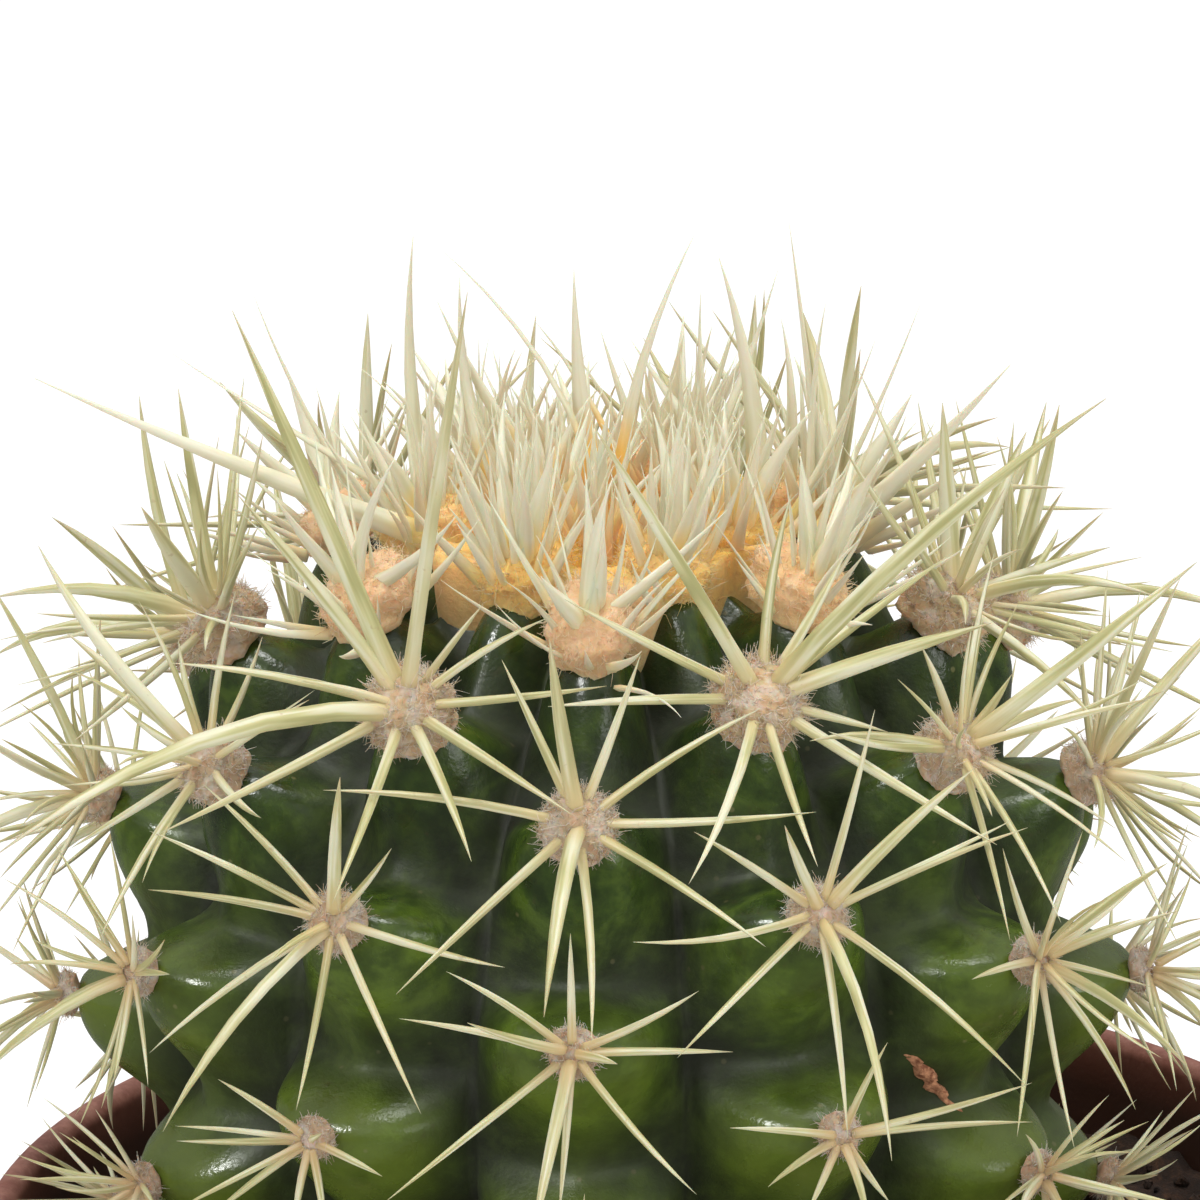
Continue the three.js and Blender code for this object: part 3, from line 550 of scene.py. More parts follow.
def makeCrumbs(material):
    # Small lumps of peat: a squashed ball of a few sides and rows, pulled out of round by a seeded
    # amount at every point.
    rng, spots = soilSpots(crumb["count"], 21)
    polar = np.radians(crumb["rows"])[:, None]
    turn = evenTurns(crumb["sides"])
    level = np.cos(polar) + 0 * turn
    rows = np.stack([np.sin(polar) * np.sin(turn), -np.sin(polar) * np.cos(turn), level], -1)
    ball, blocks = closedGrid(rows, (0, 0, 1), (0, 0, -1))
    least, more = crumb["size"]
    size = least + more * rng.uniform(0, 1, len(spots)) ** 3
    stretch = rng.uniform(*crumb["stretch"], (len(spots), 1, 3)) * size[:, None, None]
    points = ball[None] * stretch * rng.uniform(*crumb["uneven"], (len(spots), len(ball), 1))
    points = points + spots[:, None] + np.array([0, 0, crumb["lift"]]) * size[:, None, None]
    faces = facesOfCopies(blocks, len(spots), len(ball))
    return handOver(putMesh("peatCrumbs", points.reshape(-1, 3), faces, material, smooth=False), "soil_peat")


def makeSoilFibres(material):
    # Fibres that lie on the soil: a level run that bends sideways with the square of its length.
    rng, spots = soilSpots(fibre["count"], 22)
    count, rings, sides = len(spots), fibre["rings"], fibre["sides"]
    s = np.linspace(0, 1, rings)[None, :, None]
    turn = rng.uniform(0, 2 * math.pi, count)
    ahead = np.stack([np.cos(turn), np.sin(turn), rng.uniform(*fibre["rise"], count)], -1)[:, None]
    sideways = np.stack([-np.sin(turn), np.cos(turn), rng.uniform(*fibre["bendRise"], count)], -1)[:, None]
    length = rng.uniform(*fibre["length"], count)[:, None, None]
    bend = rng.uniform(*fibre["bend"], count)[:, None, None]
    lift = np.array([0, 0, fibre["lift"]])
    paths = spots[:, None] + lift + length * (ahead * s + sideways * bend * s * s)
    out = np.linalg.norm(paths[..., :2], axis=-1)
    paths[..., :2] *= np.minimum(1, (collarBottom - fibre["margin"]) / np.maximum(out, 1))[..., None]
    thick = rng.uniform(*fibre["radius"], count)[:, None] * (1 - fibre["thinning"] * s[..., 0])
    points, faces = strands(paths, np.tile([0.0, 0.0, 1.0], (count, 1)), thick, thick, sides)
    tint = spread(rng.uniform(0, 1, count), rings, sides)
    return handOver(putMesh("soilFibres", points, faces, material, tint=tint), "soil_peat")


stem = {
    "columnsPerRib": 28,
    "rows": 200,
    "rowPower": 0.92,  # below 1, the rows lie a little wider apart round the growing point
    "dent": 0.16,  # small unevenness of the skin
    "dentSize": 9.0,
    "fold": 0.07,  # fine cross folds in the notches
    "foldSize": 2.2,
    "foldStretch": np.array([0.35, 0.35, 1.6]),
    "foldFrom": (30, 60),  # polar angles between which they set in
    "notchShare": 0.3,  # how much a notch adds to the depth that counts as fully hollow
    "rootRows": 14,
    "rootPower": 0.8,
    "rootGap": 0.5,  # from the bottom of the body to the root's first row
}
scab = {
    "from": (84.5, 40.5), "to": (94.0, 48.5),  # polar angle and heading
    "halfWidth": 1.0, "height": 0.8, "rows": 26, "columns": 13,
    "pointed": 0.98,  # 1 would bring its ends to a point
    "waver": (0.6, 2.6),  # how far its outline wanders, in half widths, and over what length
    "lumps": (0.8, 0.5, 0.9),  # its even and uneven share of the height, and the lumps' size
    "rim": -0.1,  # its rim and its underside lie in the skin
    "under": -0.4,
}
skin = {"speckEvery": 3.4, "roughness": (0.15, 0.31), "specular": 0.48, "relief": 0.07}


def skinMaterial():
    # Waxy skin mottled in three greens, with painted shade that turns it brown-black in the grooves,
    # darker towards the crown and yellower on the crests low down, with rusty and sparse pale specks.
    material, tree, shader = newMaterial("waxyGreenSkin", {"Specular IOR Level": skin["specular"]})
    fromCrown, hollow = valuesOf(tree, "fromCrown", "hollow")
    broad = times(tree, grain(tree, 8, 4, 0.6, distortion=0.8), 0.62)
    mottle = times(tree, grain(tree, 2.4, 4, 0.6), 0.38, broad)
    greens = (0.40, (0.016, 0.032, 0.004)), (0.50, (0.038, 0.072, 0.007)), (0.60, (0.090, 0.150, 0.014))
    low = times(tree, fit(tree, fromCrown, 0.36, 0.54), fit(tree, hollow, 0.85, 0.25, 0, 0.9))
    low = times(tree, low, fit(tree, grain(tree, 6, 4), 0.30, 0.60, 0.45, 1))
    cells = {"Vector": placeOf(tree), "Scale": 1000 / skin["speckEvery"]}
    dots = node(tree, "ShaderNodeTexVoronoi", cells).outputs["Distance"]
    colour = layered(
        tree, ramp(tree, mottle, *greens),
        (fit(tree, fromCrown, 0.42, 0.20, 0, 0.5), (0.020, 0.034, 0.011)),
        (low, (0.115, 0.158, 0.022)),
        (fit(tree, grain(tree, 1.3, 3, 0.5), 0.66, 0.76, 0, 0.35), (0.070, 0.052, 0.018)),  # rust
        (fit(tree, dots, 0.085, 0.045, 0, 0.6), (0.20, 0.19, 0.075)),
        # painted shade: brown-black, deeper the deeper the groove or notch
        (fit(tree, hollow, 0.32, 0.88, 0, 0.85), (0.010, 0.0095, 0.004)),
    )
    gloss = fit(tree, grain(tree, 3.5, 5), 0.3, 0.7, *skin["roughness"])
    colourBy(tree, shader, colour, times(tree, fit(tree, hollow, 0.30, 0.75), 0.5, gloss))
    relief(tree, shader, times(tree, grain(tree, 0.4, 2), 0.35, grain(tree, 1.6, 4)), skin["relief"])
    return material


def scabMaterial():
    # Dry salmon-brown crust, paler on its lumps.
    material, tree, shader = newMaterial("drySkinCrust", {"Roughness": 0.9})
    crust = grain(tree, 0.5, 5)
    colourBy(tree, shader, ramp(tree, crust, (0.35, (0.24, 0.085, 0.040)), (0.60, (0.60, 0.29, 0.15))))
    relief(tree, shader, crust, 0.15)
    return material


def makeScab(material):
    # A healed wound on the skin: a strip whose half width is a half ellipse's, raised in the middle
    # and pulled out of shape by waves, closed by a flat underside in the skin.
    steps = np.linspace(-1, 1, scab["rows"]), np.linspace(-1, 1, scab["columns"])
    along, across = np.meshgrid(*steps, indexing="ij")
    t, heading = ((a + b) / 2 + (b - a) / 2 * along for a, b in zip(scab["from"], scab["to"]))
    wide = scab["halfWidth"] * np.sqrt(1 - scab["pointed"] * along ** 2)
    heading = heading + across * wide
    plain = stemPoint(t, heading, 1)
    wander, length = scab["waver"]
    heading = heading + wander * waves(plain, length, 35) * wide
    raised = (1 - across ** 2) * (1 - along ** 2)
    even, uneven, size = scab["lumps"]
    height = scab["height"] * raised ** 0.5 * (even + uneven * waves(plain, size, 36)) + scab["rim"]
    crust, under = skinPoint(t, heading, height), skinPoint(t, heading, scab["under"])
    ring = np.concatenate([crust, under[:, ::-1]], axis=1)
    points, faces = closedGrid(ring, (crust[0] + under[0]).mean(0) / 2, (crust[-1] + under[-1]).mean(0) / 2)
    return handOver(putMesh("skinScab", points, faces, material), "stem_skin")


def makeStem(material):
    # Polar rows from the growing point to the bottom, then down the root; each point is the
    # ellipsoid's, cut by the grooves and notches, with seeded dents and folds.
    columns = plant["ribs"] * stem["columnsPerRib"]
    heading = plant["firstRib"] + 360 * np.arange(columns) / columns
    t = np.linspace(0, 1, stem["rows"] + 1)[1:] ** stem["rowPower"] * plant["bottomAngle"]
    t, heading = np.meshgrid(t, heading, indexing="ij")
    plain = stemPoint(t, heading, 1)
    fullDepth = plant["grooveDepth"] + stem["notchShare"] * plant["notchDepth"]
    hollow = np.clip(stemCut(t, heading) / fullDepth, 0, 1)
    dents = stem["dent"] * waves(plain, stem["dentSize"], 31)
    folds = stem["fold"] * waves(plain * stem["foldStretch"], stem["foldSize"], 32)
    dents += folds * hollow * smoothstep(t, *stem["foldFrom"])
    body = skinPoint(t, heading, dents)
    x, _, z = plant["centre"]
    rootZ, gap = z - plant["baseDepth"], stem["rootGap"]
    share = np.linspace(0, 1, stem["rootRows"])[:, None]
    radius = plant["rootRadius"] + (plant["rootTip"] - plant["rootRadius"]) * share ** stem["rootPower"]
    around = np.radians(heading[:1])
    height = rootZ - gap - (plant["rootLength"] - gap) * share + 0 * around
    root = np.stack([x + radius * np.sin(around), -radius * np.cos(around), height], -1)
    tip = (x, 0, rootZ - plant["rootLength"])
    points, faces = closedGrid(np.concatenate([body, root]), skinPoint(0.0, 0.0), tip)
    rest = [np.ones(root[..., 0].size), [0, 1]]  # the root takes the grooves' full painted shade; then the top and the tip
    dark = np.concatenate([hollow.ravel(), *rest])
    down = np.concatenate([t.ravel() / plant["bottomAngle"], *rest])
    piece = putMesh("ribbedStem", points, faces, material, hollow=dark, fromCrown=down)
    return handOver(piece, "stem_skin", "stem")


spine = {
    "width": (0.57, 0.85),  # half the width of a thin and a thick one, as a share of its solid's radius
    "radii": (0.40, 0.85),  # a thin and a thick spine
    "fullness": (2.7, 2.9),  # and how long each keeps its width
    "youngWidth": 1.2,  # how much wider the newest ones are
    "youngTurns": (-0.4, 0.4),  # turns over which that wears off
    "flatness": 0.70,
    "twist": 0.35,  # how far their flat sides turn at random
    "bow": 0.018,  # how far they bow at random, as a share of their length
    "rings": np.array([0, 0.04, 0.16, 0.34, 0.52, 0.68, 0.82, 0.93, 1.0]),  # shares of the length
    "sides": 6,
    "swelling": (0.15, 0.06),  # how much wider the root is, and over what share of the length
    "tipWidth": 0.03,  # of the widest
    "tipAngle": 60,  # degrees that the faces' angles at a solid needle's tip add up to at most
    "kneeAt": (0.38, 0.62),  # shares of a bent solid needle's length between which its knee is
    "kneePoints": 3,  # how many points round it show that there is one
    "kneeWidth": 0.75,  # of its root's
    "added": 8,  # spines that the solids leave out, on an areole at the side or back
    "addedFrom": (25.0, 50.0),  # headings from the front between which they set in
    "addedLengths": (9.0, 17.0),
    "addedRadii": (0.45, 0.62),
    "addedLean": (25.0, 78.0),  # away from the areole's normal
    "addedShift": 0.3,  # how unevenly they stand round it
    "addedMargin": 0.3,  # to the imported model's box
    "wornLength": 0.3,  # share of the length that the oldest have lost
}


def needleTips(name):
    # The needles of a node, read from its solid: a tip is a point whose faces' angles there add up
    # to very little. Gives the solid's points, which of them are tips, the axis through each tip
    # (the mean of its faces' normals), that sum of angles, and the solid's edges.
    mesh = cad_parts[name].data
    places = np.zeros(len(mesh.vertices) * 3)
    mesh.vertices.foreach_get("co", places)
    mesh.calc_loop_triangles()
    corners = np.zeros(len(mesh.loop_triangles) * 3, int)
    mesh.loop_triangles.foreach_get("vertices", corners)
    keys, merged = np.unique(np.round(places.reshape(-1, 3) / mm, 4), axis=0, return_inverse=True)
    faces = merged.reshape(-1)[corners].reshape(-1, 3)
    faces = faces[(faces != np.roll(faces, 1, 1)).all(1)]
    at, ahead, behind = keys[faces], keys[np.roll(faces, -1, 1)], keys[np.roll(faces, 1, 1)]
    first, second = unit(ahead - at), unit(behind - at)
    angle = np.arccos(np.clip((first * second).sum(-1), -1, 1))
    total = np.bincount(faces.ravel(), angle.ravel(), len(keys))
    normal = unit(np.cross(at[:, 1] - at[:, 0], at[:, 2] - at[:, 0]))
    weighted = (angle[..., None] * normal[:, None, :]).reshape(-1, 3)
    axis = np.stack([np.bincount(faces.ravel(), weighted[:, i], len(keys)) for i in range(3)], -1)
    tips = np.flatnonzero((total < math.radians(spine["tipAngle"])) & (total > 0))
    edges = np.unique(np.concatenate([faces[:, [0, 1]], faces[:, [1, 2]], faces[:, [2, 0]]]), axis=0)
    return keys, tips, unit(axis[tips]), total[tips], edges


def needleRadius(length, total):
    # Each of a needle's three faces has a third of the angle at the tip, so its root has sides of
    # 2 * length * sin(total / 6), and a round through the root's corners has this radius.
    return length * np.sin(total / 6) * 2 / math.sqrt(3)


def knees(keys, tips, roots, edges):
    # For each tip, the mean of the points joined to it about half way to its root, and their number.
    order = np.full(len(keys), -1)
    order[tips] = np.arange(len(tips))
    edges = np.concatenate([edges, edges[:, ::-1]])
    edges = np.unique(edges[order[edges[:, 0]] >= 0], axis=0)
    which = order[edges[:, 0]]
    far = np.linalg.norm(keys[edges[:, 1]] - keys[edges[:, 0]], axis=1)
    share = far / np.linalg.norm(keys[tips] - roots, axis=1)[which]
    isNear = (share > spine["kneeAt"][0]) & (share < spine["kneeAt"][1])
    which, points = which[isNear], keys[edges[isNear, 1]]
    count = np.bincount(which, minlength=len(tips))
    mean = np.stack([np.bincount(which, points[:, i], len(tips)) for i in range(3)], -1)
    return mean / np.maximum(count, 1)[:, None], count


def spineBars(roots, middles, tips, facing, radius, seed, fullness=None, flatness=None, twist=None):
    # Flattened bars along a quadratic curve from root through middle to tip. Half the width is
    # width * (1 - s^fullness) with s from root to tip, swelling a little over the root.
    along, sides, isPlain = spine["rings"], spine["sides"], fullness is None
    shape = (len(roots), len(along), sides)
    rng = np.random.default_rng(seed)
    s = along[None, :, None]
    bend = 2 * middles - (roots + tips) / 2
    paths = (1 - s) ** 2 * roots[:, None] + 2 * s * (1 - s) * bend[:, None] + s * s * tips[:, None]
    power = np.interp(radius, spine["radii"], spine["fullness"])[:, None] if isPlain else fullness
    more, over = spine["swelling"]
    taper = np.maximum(1 - along ** power, spine["tipWidth"]) * (1 + more * np.exp(-((along / over) ** 2)))
    width = np.interp(radius, spine["radii"], spine["width"]) if isPlain else 1
    half = (width * radius)[:, None] * taper
    turned = unit(facing + (twist or spine["twist"]) * rng.normal(size=facing.shape))
    points, faces = strands(paths, turned, half, half * (flatness or spine["flatness"]), sides)
    length = np.linalg.norm(tips - roots, axis=1)
    return points, faces, {
        "along": np.broadcast_to(along[:, None], shape),
        "across": np.broadcast_to(np.cos(evenTurns(sides, 0.5)), shape),
        "tint": spread(rng.uniform(0, 1, len(roots)), len(along), sides),
        "place": np.broadcast_to((along * length[:, None])[..., None], shape),
    }


def joined(parts):
    # Several (points, faces, attributes) as one, with the face numbers moved on.
    points, faces, attributes, start = [], [], {}, 0
    for partPoints, partFaces, partAttributes in parts:
        points.append(partPoints)
        faces += [block + start for block in partFaces]
        for key, values in partAttributes.items():
            attributes.setdefault(key, []).append(np.asarray(values, float).ravel())
        start += len(partPoints)
    return np.concatenate(points), faces, {key: np.concatenate(values) for key, values in attributes.items()}


def streaks(tree, across, place, tint):
    # Noise that is drawn out along a spine and differs from one spine to the next.
    values = {"X": times(tree, across, 1.1), "Y": times(tree, place, 0.07), "Z": times(tree, tint, 40.0)}
    where = node(tree, "ShaderNodeCombineXYZ", values).outputs["Vector"]
    return node(tree, "ShaderNodeTexNoise", {"Vector": where, "Scale": 1.0, "Detail": 2.0}).outputs["Fac"]


def spineMaterial():
    # Ivory straw with paler and olive streaks along it; tan at the root on a young areole and
    # orange-brown on an old one, greyer at the tip, with a few brown nicks.
    # its glow is painted light that lifts the shaded sides
    material, tree, shader = newMaterial("ivoryStraw", letsLight(0.2, 0.8, (1, 0.95, 0.62), 0.10))
    along, across, place, tint, age = valuesOf(tree, "along", "across", "place", "tint", "age")
    streak = streaks(tree, across, place, tint)
    straws = (0.38, (0.31, 0.295, 0.10)), (0.48, (0.47, 0.45, 0.21)), (0.59, (0.62, 0.61, 0.44))
    browns = (0.0, (0.62, 0.50, 0.25)), (0.35, (0.56, 0.40, 0.17)), (0.8, (0.46, 0.24, 0.09))
    body = layered(
        tree, ramp(tree, streak, *straws),
        (fit(tree, tint, 0.6, 1.0, 0, 0.35), (0.53, 0.46, 0.28)),
        (fit(tree, grain(tree, 0.8, 2), 0.68, 0.76, 0, 0.45), (0.33, 0.20, 0.09)),  # nicks
        (fit(tree, place, 0.4, fit(tree, age, 0, 1, 5.0, 2.6), 0.8, 0.0), ramp(tree, age, *browns)),
        (fit(tree, along, 0.80, 1.0, 0, 0.5), (0.36, 0.32, 0.20)),
    )
    colourBy(tree, shader, body, fit(tree, streak, 0.3, 0.7, 0.40, 0.56))
    relief(tree, shader, streak, 0.06)
    return material


def spineMiddle(areole):  # where an areole's spines would meet, inside its solid's cushion
    return areole["at"] + areole["normal"] * (plant["padGap"] + plant["padRootHeight"] * areole["pad"])


def agedBars(areole, roots, middles, ends, radius, seed):
    # Spines whose flat sides face out from the skin, with their areole's age at every point.
    bars = spineBars(roots, middles, ends, np.tile(areole["normal"], (len(ends), 1)), radius, seed)
    bars[2]["age"] = np.full(bars[2]["along"].shape, areole["age"])
    return bars


def areoleSpines(areole, index):
    # The fine spines of one areole, each from its solid's tip back to its root in the felt.
    keys, tips, _, total, edges = needleTips(areole["name"])
    out = unit(keys[tips] - spineMiddle(areole))
    roots = spineMiddle(areole) + out * plant["padRootSpread"] * areole["pad"]
    length = np.linalg.norm(keys[tips] - roots, axis=1)
    knots, count = knees(keys, tips, roots, edges)
    isBent = count >= spine["kneePoints"]
    rng = np.random.default_rng(400 + index)
    lift = unit(areole["normal"] - out * (out @ areole["normal"])[:, None])
    sway = unit(np.cross(lift, out))
    bow = spine["bow"] * rng.normal(size=(len(tips), 2)) * length[:, None]
    straight = (roots + keys[tips]) / 2 + lift * bow[:, :1] + sway * bow[:, 1:]
    middles = np.where(isBent[:, None], knots, straight)
    radius = needleRadius(np.where(isBent, length / 2 / spine["kneeWidth"], length), total)
    radius *= np.interp(areole["turn"], spine["youngTurns"], (spine["youngWidth"], 1))
    return agedBars(areole, roots, middles, keys[tips], radius, 500 + index)


def addedSpines(areole, index):
    # Spines between those of the solid: evenly round the areole with a seeded shift and lean, kept
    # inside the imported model's box.
    heading = plant["firstRib"] + areole["rib"] * ribPitch
    aside = abs((heading + 180) % 360 - 180)
    count = round(spine["added"] * float(smoothstep(aside, *spine["addedFrom"])))
    if count == 0:
        return []
    rng = np.random.default_rng(900 + index)
    shift = rng.uniform(-spine["addedShift"], spine["addedShift"], count)
    turn = 2 * math.pi * ((np.arange(count) + shift) / count + rng.uniform())
    lean = np.radians(rng.uniform(*spine["addedLean"], count))[:, None]
    level = np.cos(turn)[:, None] * areole["right"] + np.sin(turn)[:, None] * areole["up"]
    ahead = np.cos(lean) * areole["normal"] + np.sin(lean) * level
    length = rng.uniform(*spine["addedLengths"], count)[:, None] * (1 - spine["wornLength"] * areole["age"])
    roots = spineMiddle(areole) + ahead * plant["padRootSpread"] * areole["pad"]
    low, high = (np.array(corner) / mm for corner in cadBox)
    ends = np.clip(roots + ahead * length, low + spine["addedMargin"], high - spine["addedMargin"])
    bow = spine["bow"] * 2 * rng.normal(size=(count, 3)) * length
    radius = rng.uniform(*spine["addedRadii"], count)
    return [agedBars(areole, roots, (roots + ends) / 2 + bow, ends, radius, 950 + index)]


felt = {
    "turns": (-1.2, -0.5, 0, 0.5, 1, 1.5, 3),  # how its radius wears down with the turns
    "sizes": (3.9, 3.7, 3.05, 2.4, 2.0, 1.75, 1.5),
    "columns": 48,
    "rows": 20,
    "under": 122,  # how far round a dome its skin runs, in degrees from its top
    "heights": (0.86, 0.55),  # of a young one and an old one, as a share of its radius
    "heightAges": (0, 0.6),
    "lift": 0.12,  # how high its middle is over the skin's gap, as a share of its radius
    "sunk": 0.6,  # how deep in the skin it closes
    "clumps": ((2.8, 0.065), (1.1, 0.055)),  # size in millimetres and height as a share of the radius
    "fullness": 0.75,  # the lower, the squarer a dome's profile
    "tint": 0.35,  # between the darkest hairs and the palest
}
hair = {
    "rings": 3,
    "sides": 3,
    "count": 1500,  # on the largest areole
    "length": 0.75,
    "radius": 0.045,
    "curl": 0.55,
    "sunk": 0.12,
    "lowest": -0.15,  # the level of a dome down to which they stand
    "scatter": 0.75,  # how far they lean at random
    "leastOut": 0.25,  # how far out each points at least
    "lengths": (0.55, 1.2),  # of the shortest and the longest, as a share
    "radii": (0.7, 1.3),
    "thinning": 0.65,
}


def hairs(starts, outward, length, radius, curl, seed):
    # Curled hairs: start + length * (direction * s + bend * s^2), thinning to the end.
    rng = np.random.default_rng(seed)
    count, rings, sides = len(starts), hair["rings"], hair["sides"]
    s = np.linspace(0, 1, rings)[None, :, None]
    ahead = unit(outward + hair["scatter"] * rng.normal(size=(count, 3)))
    short = hair["leastOut"] - (ahead * outward).sum(-1, keepdims=True)
    ahead = unit(ahead + outward * np.maximum(0, short))
    bend = rng.normal(size=(count, 3)) * curl
    run = length * rng.uniform(*hair["lengths"], (count, 1, 1))
    paths = starts[:, None] + run * (ahead[:, None] * s + bend[:, None] * s * s)
    half = radius * rng.uniform(*hair["radii"], (count, 1)) * (1 - hair["thinning"] * s[..., 0])
    points, faces = strands(paths, unit(rng.normal(size=(count, 3))), half, half, sides)
    return points, faces, {"tint": spread(rng.uniform(0, 1, count), rings, sides)}


def domeDirections(level, turn):
    # Points of a full dome one unit high and wide: the height and the distance from its middle are
    # those of a ball's, each raised to the power of its fullness.
    out = np.sqrt(1 - level ** 2) ** felt["fullness"]
    high = np.sign(level) * np.abs(level) ** felt["fullness"]
    return np.stack([out * np.sin(turn), -out * np.cos(turn), high], -1)


def woolDome(areole, shape, rise, count, index):
    # A woolly dome on an areole: rows of a full dome times its shape, which is half its width, half
    # its length and its height. Seeded clumps push its surface in and out, and `count` hairs stand
    # all over it.
    size = areole["size"]
    polar = np.radians(np.linspace(0, felt["under"], felt["rows"] + 1)[1:])[:, None]
    turn = evenTurns(felt["columns"])
    basis = np.stack([areole["right"], areole["up"], areole["normal"]])
    foot = areole["at"] + areole["up"] * rise + areole["normal"] * (plant["padGap"] + size * felt["lift"])

    def placed(direction):
        lumps = sum(high * waves(direction * size + foot, wide, 601) for wide, high in felt["clumps"])
        return foot + (direction * shape * (1 + lumps[..., None])) @ basis

    local = domeDirections(np.cos(polar) + 0 * turn, turn)
    bottom = areole["at"] - areole["normal"] * felt["sunk"]
    points, faces = closedGrid(placed(local), placed(np.array([0, 0, 1.0])), bottom)
    rng = np.random.default_rng(700 + index)
    direction = domeDirections(rng.uniform(hair["lowest"], 1, count), rng.uniform(0, 2 * math.pi, count))
    length = hair["length"] * (size / felt["sizes"][0]) ** 0.5
    outward = unit(direction) @ basis
    starts = placed(direction) - hair["sunk"] * outward
    fluff = hairs(starts, outward, length, hair["radius"], hair["curl"], 800 + index)
    return (points, faces, {"tint": np.full(len(points), felt["tint"])}), fluff


def areoleFelt(areole, index):  # a round dome, lower on an old areole, and its hairs
    size = areole["size"]
    height = np.interp(areole["age"], felt["heightAges"], felt["heights"])
    count = int(hair["count"] * (size / felt["sizes"][0]) ** 1.4)
    points, faces, attributes = joined(woolDome(areole, np.array([1, 1, height]) * size, 0, count, index))
    attributes["age"] = np.full(len(points), areole["age"])
    return points, faces, attributes


def feltMaterial():
    # Wool, warm tan on a young areole and pinker on an old one, with random darker patches of painted
    # shade for the hollows low in its tufts, and pinkish-white hairs.
    # its glow is painted light that lifts the shaded sides
    light = letsLight(0.45, 1.8, (1, 0.76, 0.58), 0.022)
    material, tree, shader = newMaterial("areoleWool", {"Roughness": 0.95} | light)
    age, tint = valuesOf(tree, "age", "tint")
    tans = (0.0, (0.62, 0.42, 0.22)), (0.30, (0.53, 0.37, 0.24)), (0.8, (0.51, 0.32, 0.21))
    body = layered(
        tree, ramp(tree, age, *tans),
        # painted shade low in the tufts, laid in random patches
        (fit(tree, grain(tree, 0.9, 4), 0.44, 0.62, 0, 0.6), (0.48, 0.27, 0.15)),
        (fit(tree, grain(tree, 1.6, 3), 0.50, 0.62, 0, 0.5), (0.74, 0.62, 0.56)),
        (fit(tree, tint, 0.38, 0.7, 0, 0.7), (0.78, 0.66, 0.56)),  # pale hairs
        (fit(tree, tint, 0.06, 0.0, 0, 0.5), (0.28, 0.15, 0.09)),  # and a few dark ones
    )
    colourBy(tree, shader, body)
    relief(tree, shader, grain(tree, 0.5, 4), 0.2)
    return material


crown = {
    "edge": 22.5,  # polar angle at which the felt between two lobes ends
    "edgeWave": 1.8,
    "fall": (-4.0, 1.5),  # degrees from that edge between which it falls away
    "past": 2.5,  # degrees past the edge that its skin runs on
    "thickness": 1.7,
    "depth": -9.5,  # how far the felt's side runs down into the grooves
    "rows": 60,
    "rowPower": 0.8,
    "columns": 160,
    "clumps": ((3.4, 0.30), (1.3, 0.18)),  # size and height in millimetres
    "under": 20.0,  # height over the stem's centre at which the felt closes
    "lobe": (0.92, 1.12, 0.72),  # a young areole's lobe across and along its rib and up, in its felt's radii
    "lobeRise": 0.25,
    "lobeHairs": 740,
    "hairs": 1300,
    "hairLength": 1.2,
    "hairRadius": 0.05,
    "hairCurl": 0.6,
    "hairSunk": 0.2,
    "hairShift": 0.25,
    "hairsWhere": 0.7,  # share of the thickness that the felt has at least where they stand
}
blade = {
    "outer": (20.0, 31.0),  # polar angles between which an areole's young spines turn to the outer kind
    "count": (34, 18),  # on an inner areole and on an outer one, besides their solid's
    "lengths": ((7.0, 15.5), (7.0, 13.5)),
    "radii": ((0.58, 1.15), (0.38, 0.62)),
    "spread": (0.33, 0.60),
    "upright": (0.72, 0.35),  # how far they stand up
    "rootSpread": 3.2,
    "bow": 0.03,
    "solidWidth": 1.3,  # for a solid's needle
    "rootHeight": 1.6,  # of the point over an areole that the solid's needles come from
    "rootMiss": 2.2,  # how far past it a needle's line may run
    "rootRange": (6, 34),  # and how far from it its tip may be
    "rootDepth": 1.0,  # in the skin, for the other needles
    "freshReach": 16,  # millimetres from the growing point
    "freshMost": 1.4,
}
bladeShape = {"fullness": 1.3, "flatness": 0.42, "twist": 0.7}


def crownCap():
    # The felt over the growing point: the sunken top raised by the felt's thickness, which falls
    # away past a wavy edge and runs down into the grooves.
    heading = 360 * np.arange(crown["columns"]) / crown["columns"]
    around = np.radians(heading)
    edge = crown["edge"] + crown["edgeWave"] * (np.sin(5 * around + 0.7) + 0.5 * np.sin(11 * around))
    share = np.linspace(0, 1, crown["rows"] + 1)[1:, None]
    t = share ** crown["rowPower"] * (edge + crown["past"])
    heading = heading + 0 * t
    fall = smoothstep(t, edge + crown["fall"][0], edge + crown["fall"][1])
    thick = crown["thickness"] * (1 - fall) + crown["depth"] * fall
    plain, normal = stemPoint(t, heading, 1 - sunk(t)), stemNormal(t, heading)
    clumps = sum(high * waves(plain, wide, 41 + i) for i, (wide, high) in enumerate(crown["clumps"]))
    return t, normal, plain + normal * (thick + clumps * (1 - fall))[..., None], 1 - fall


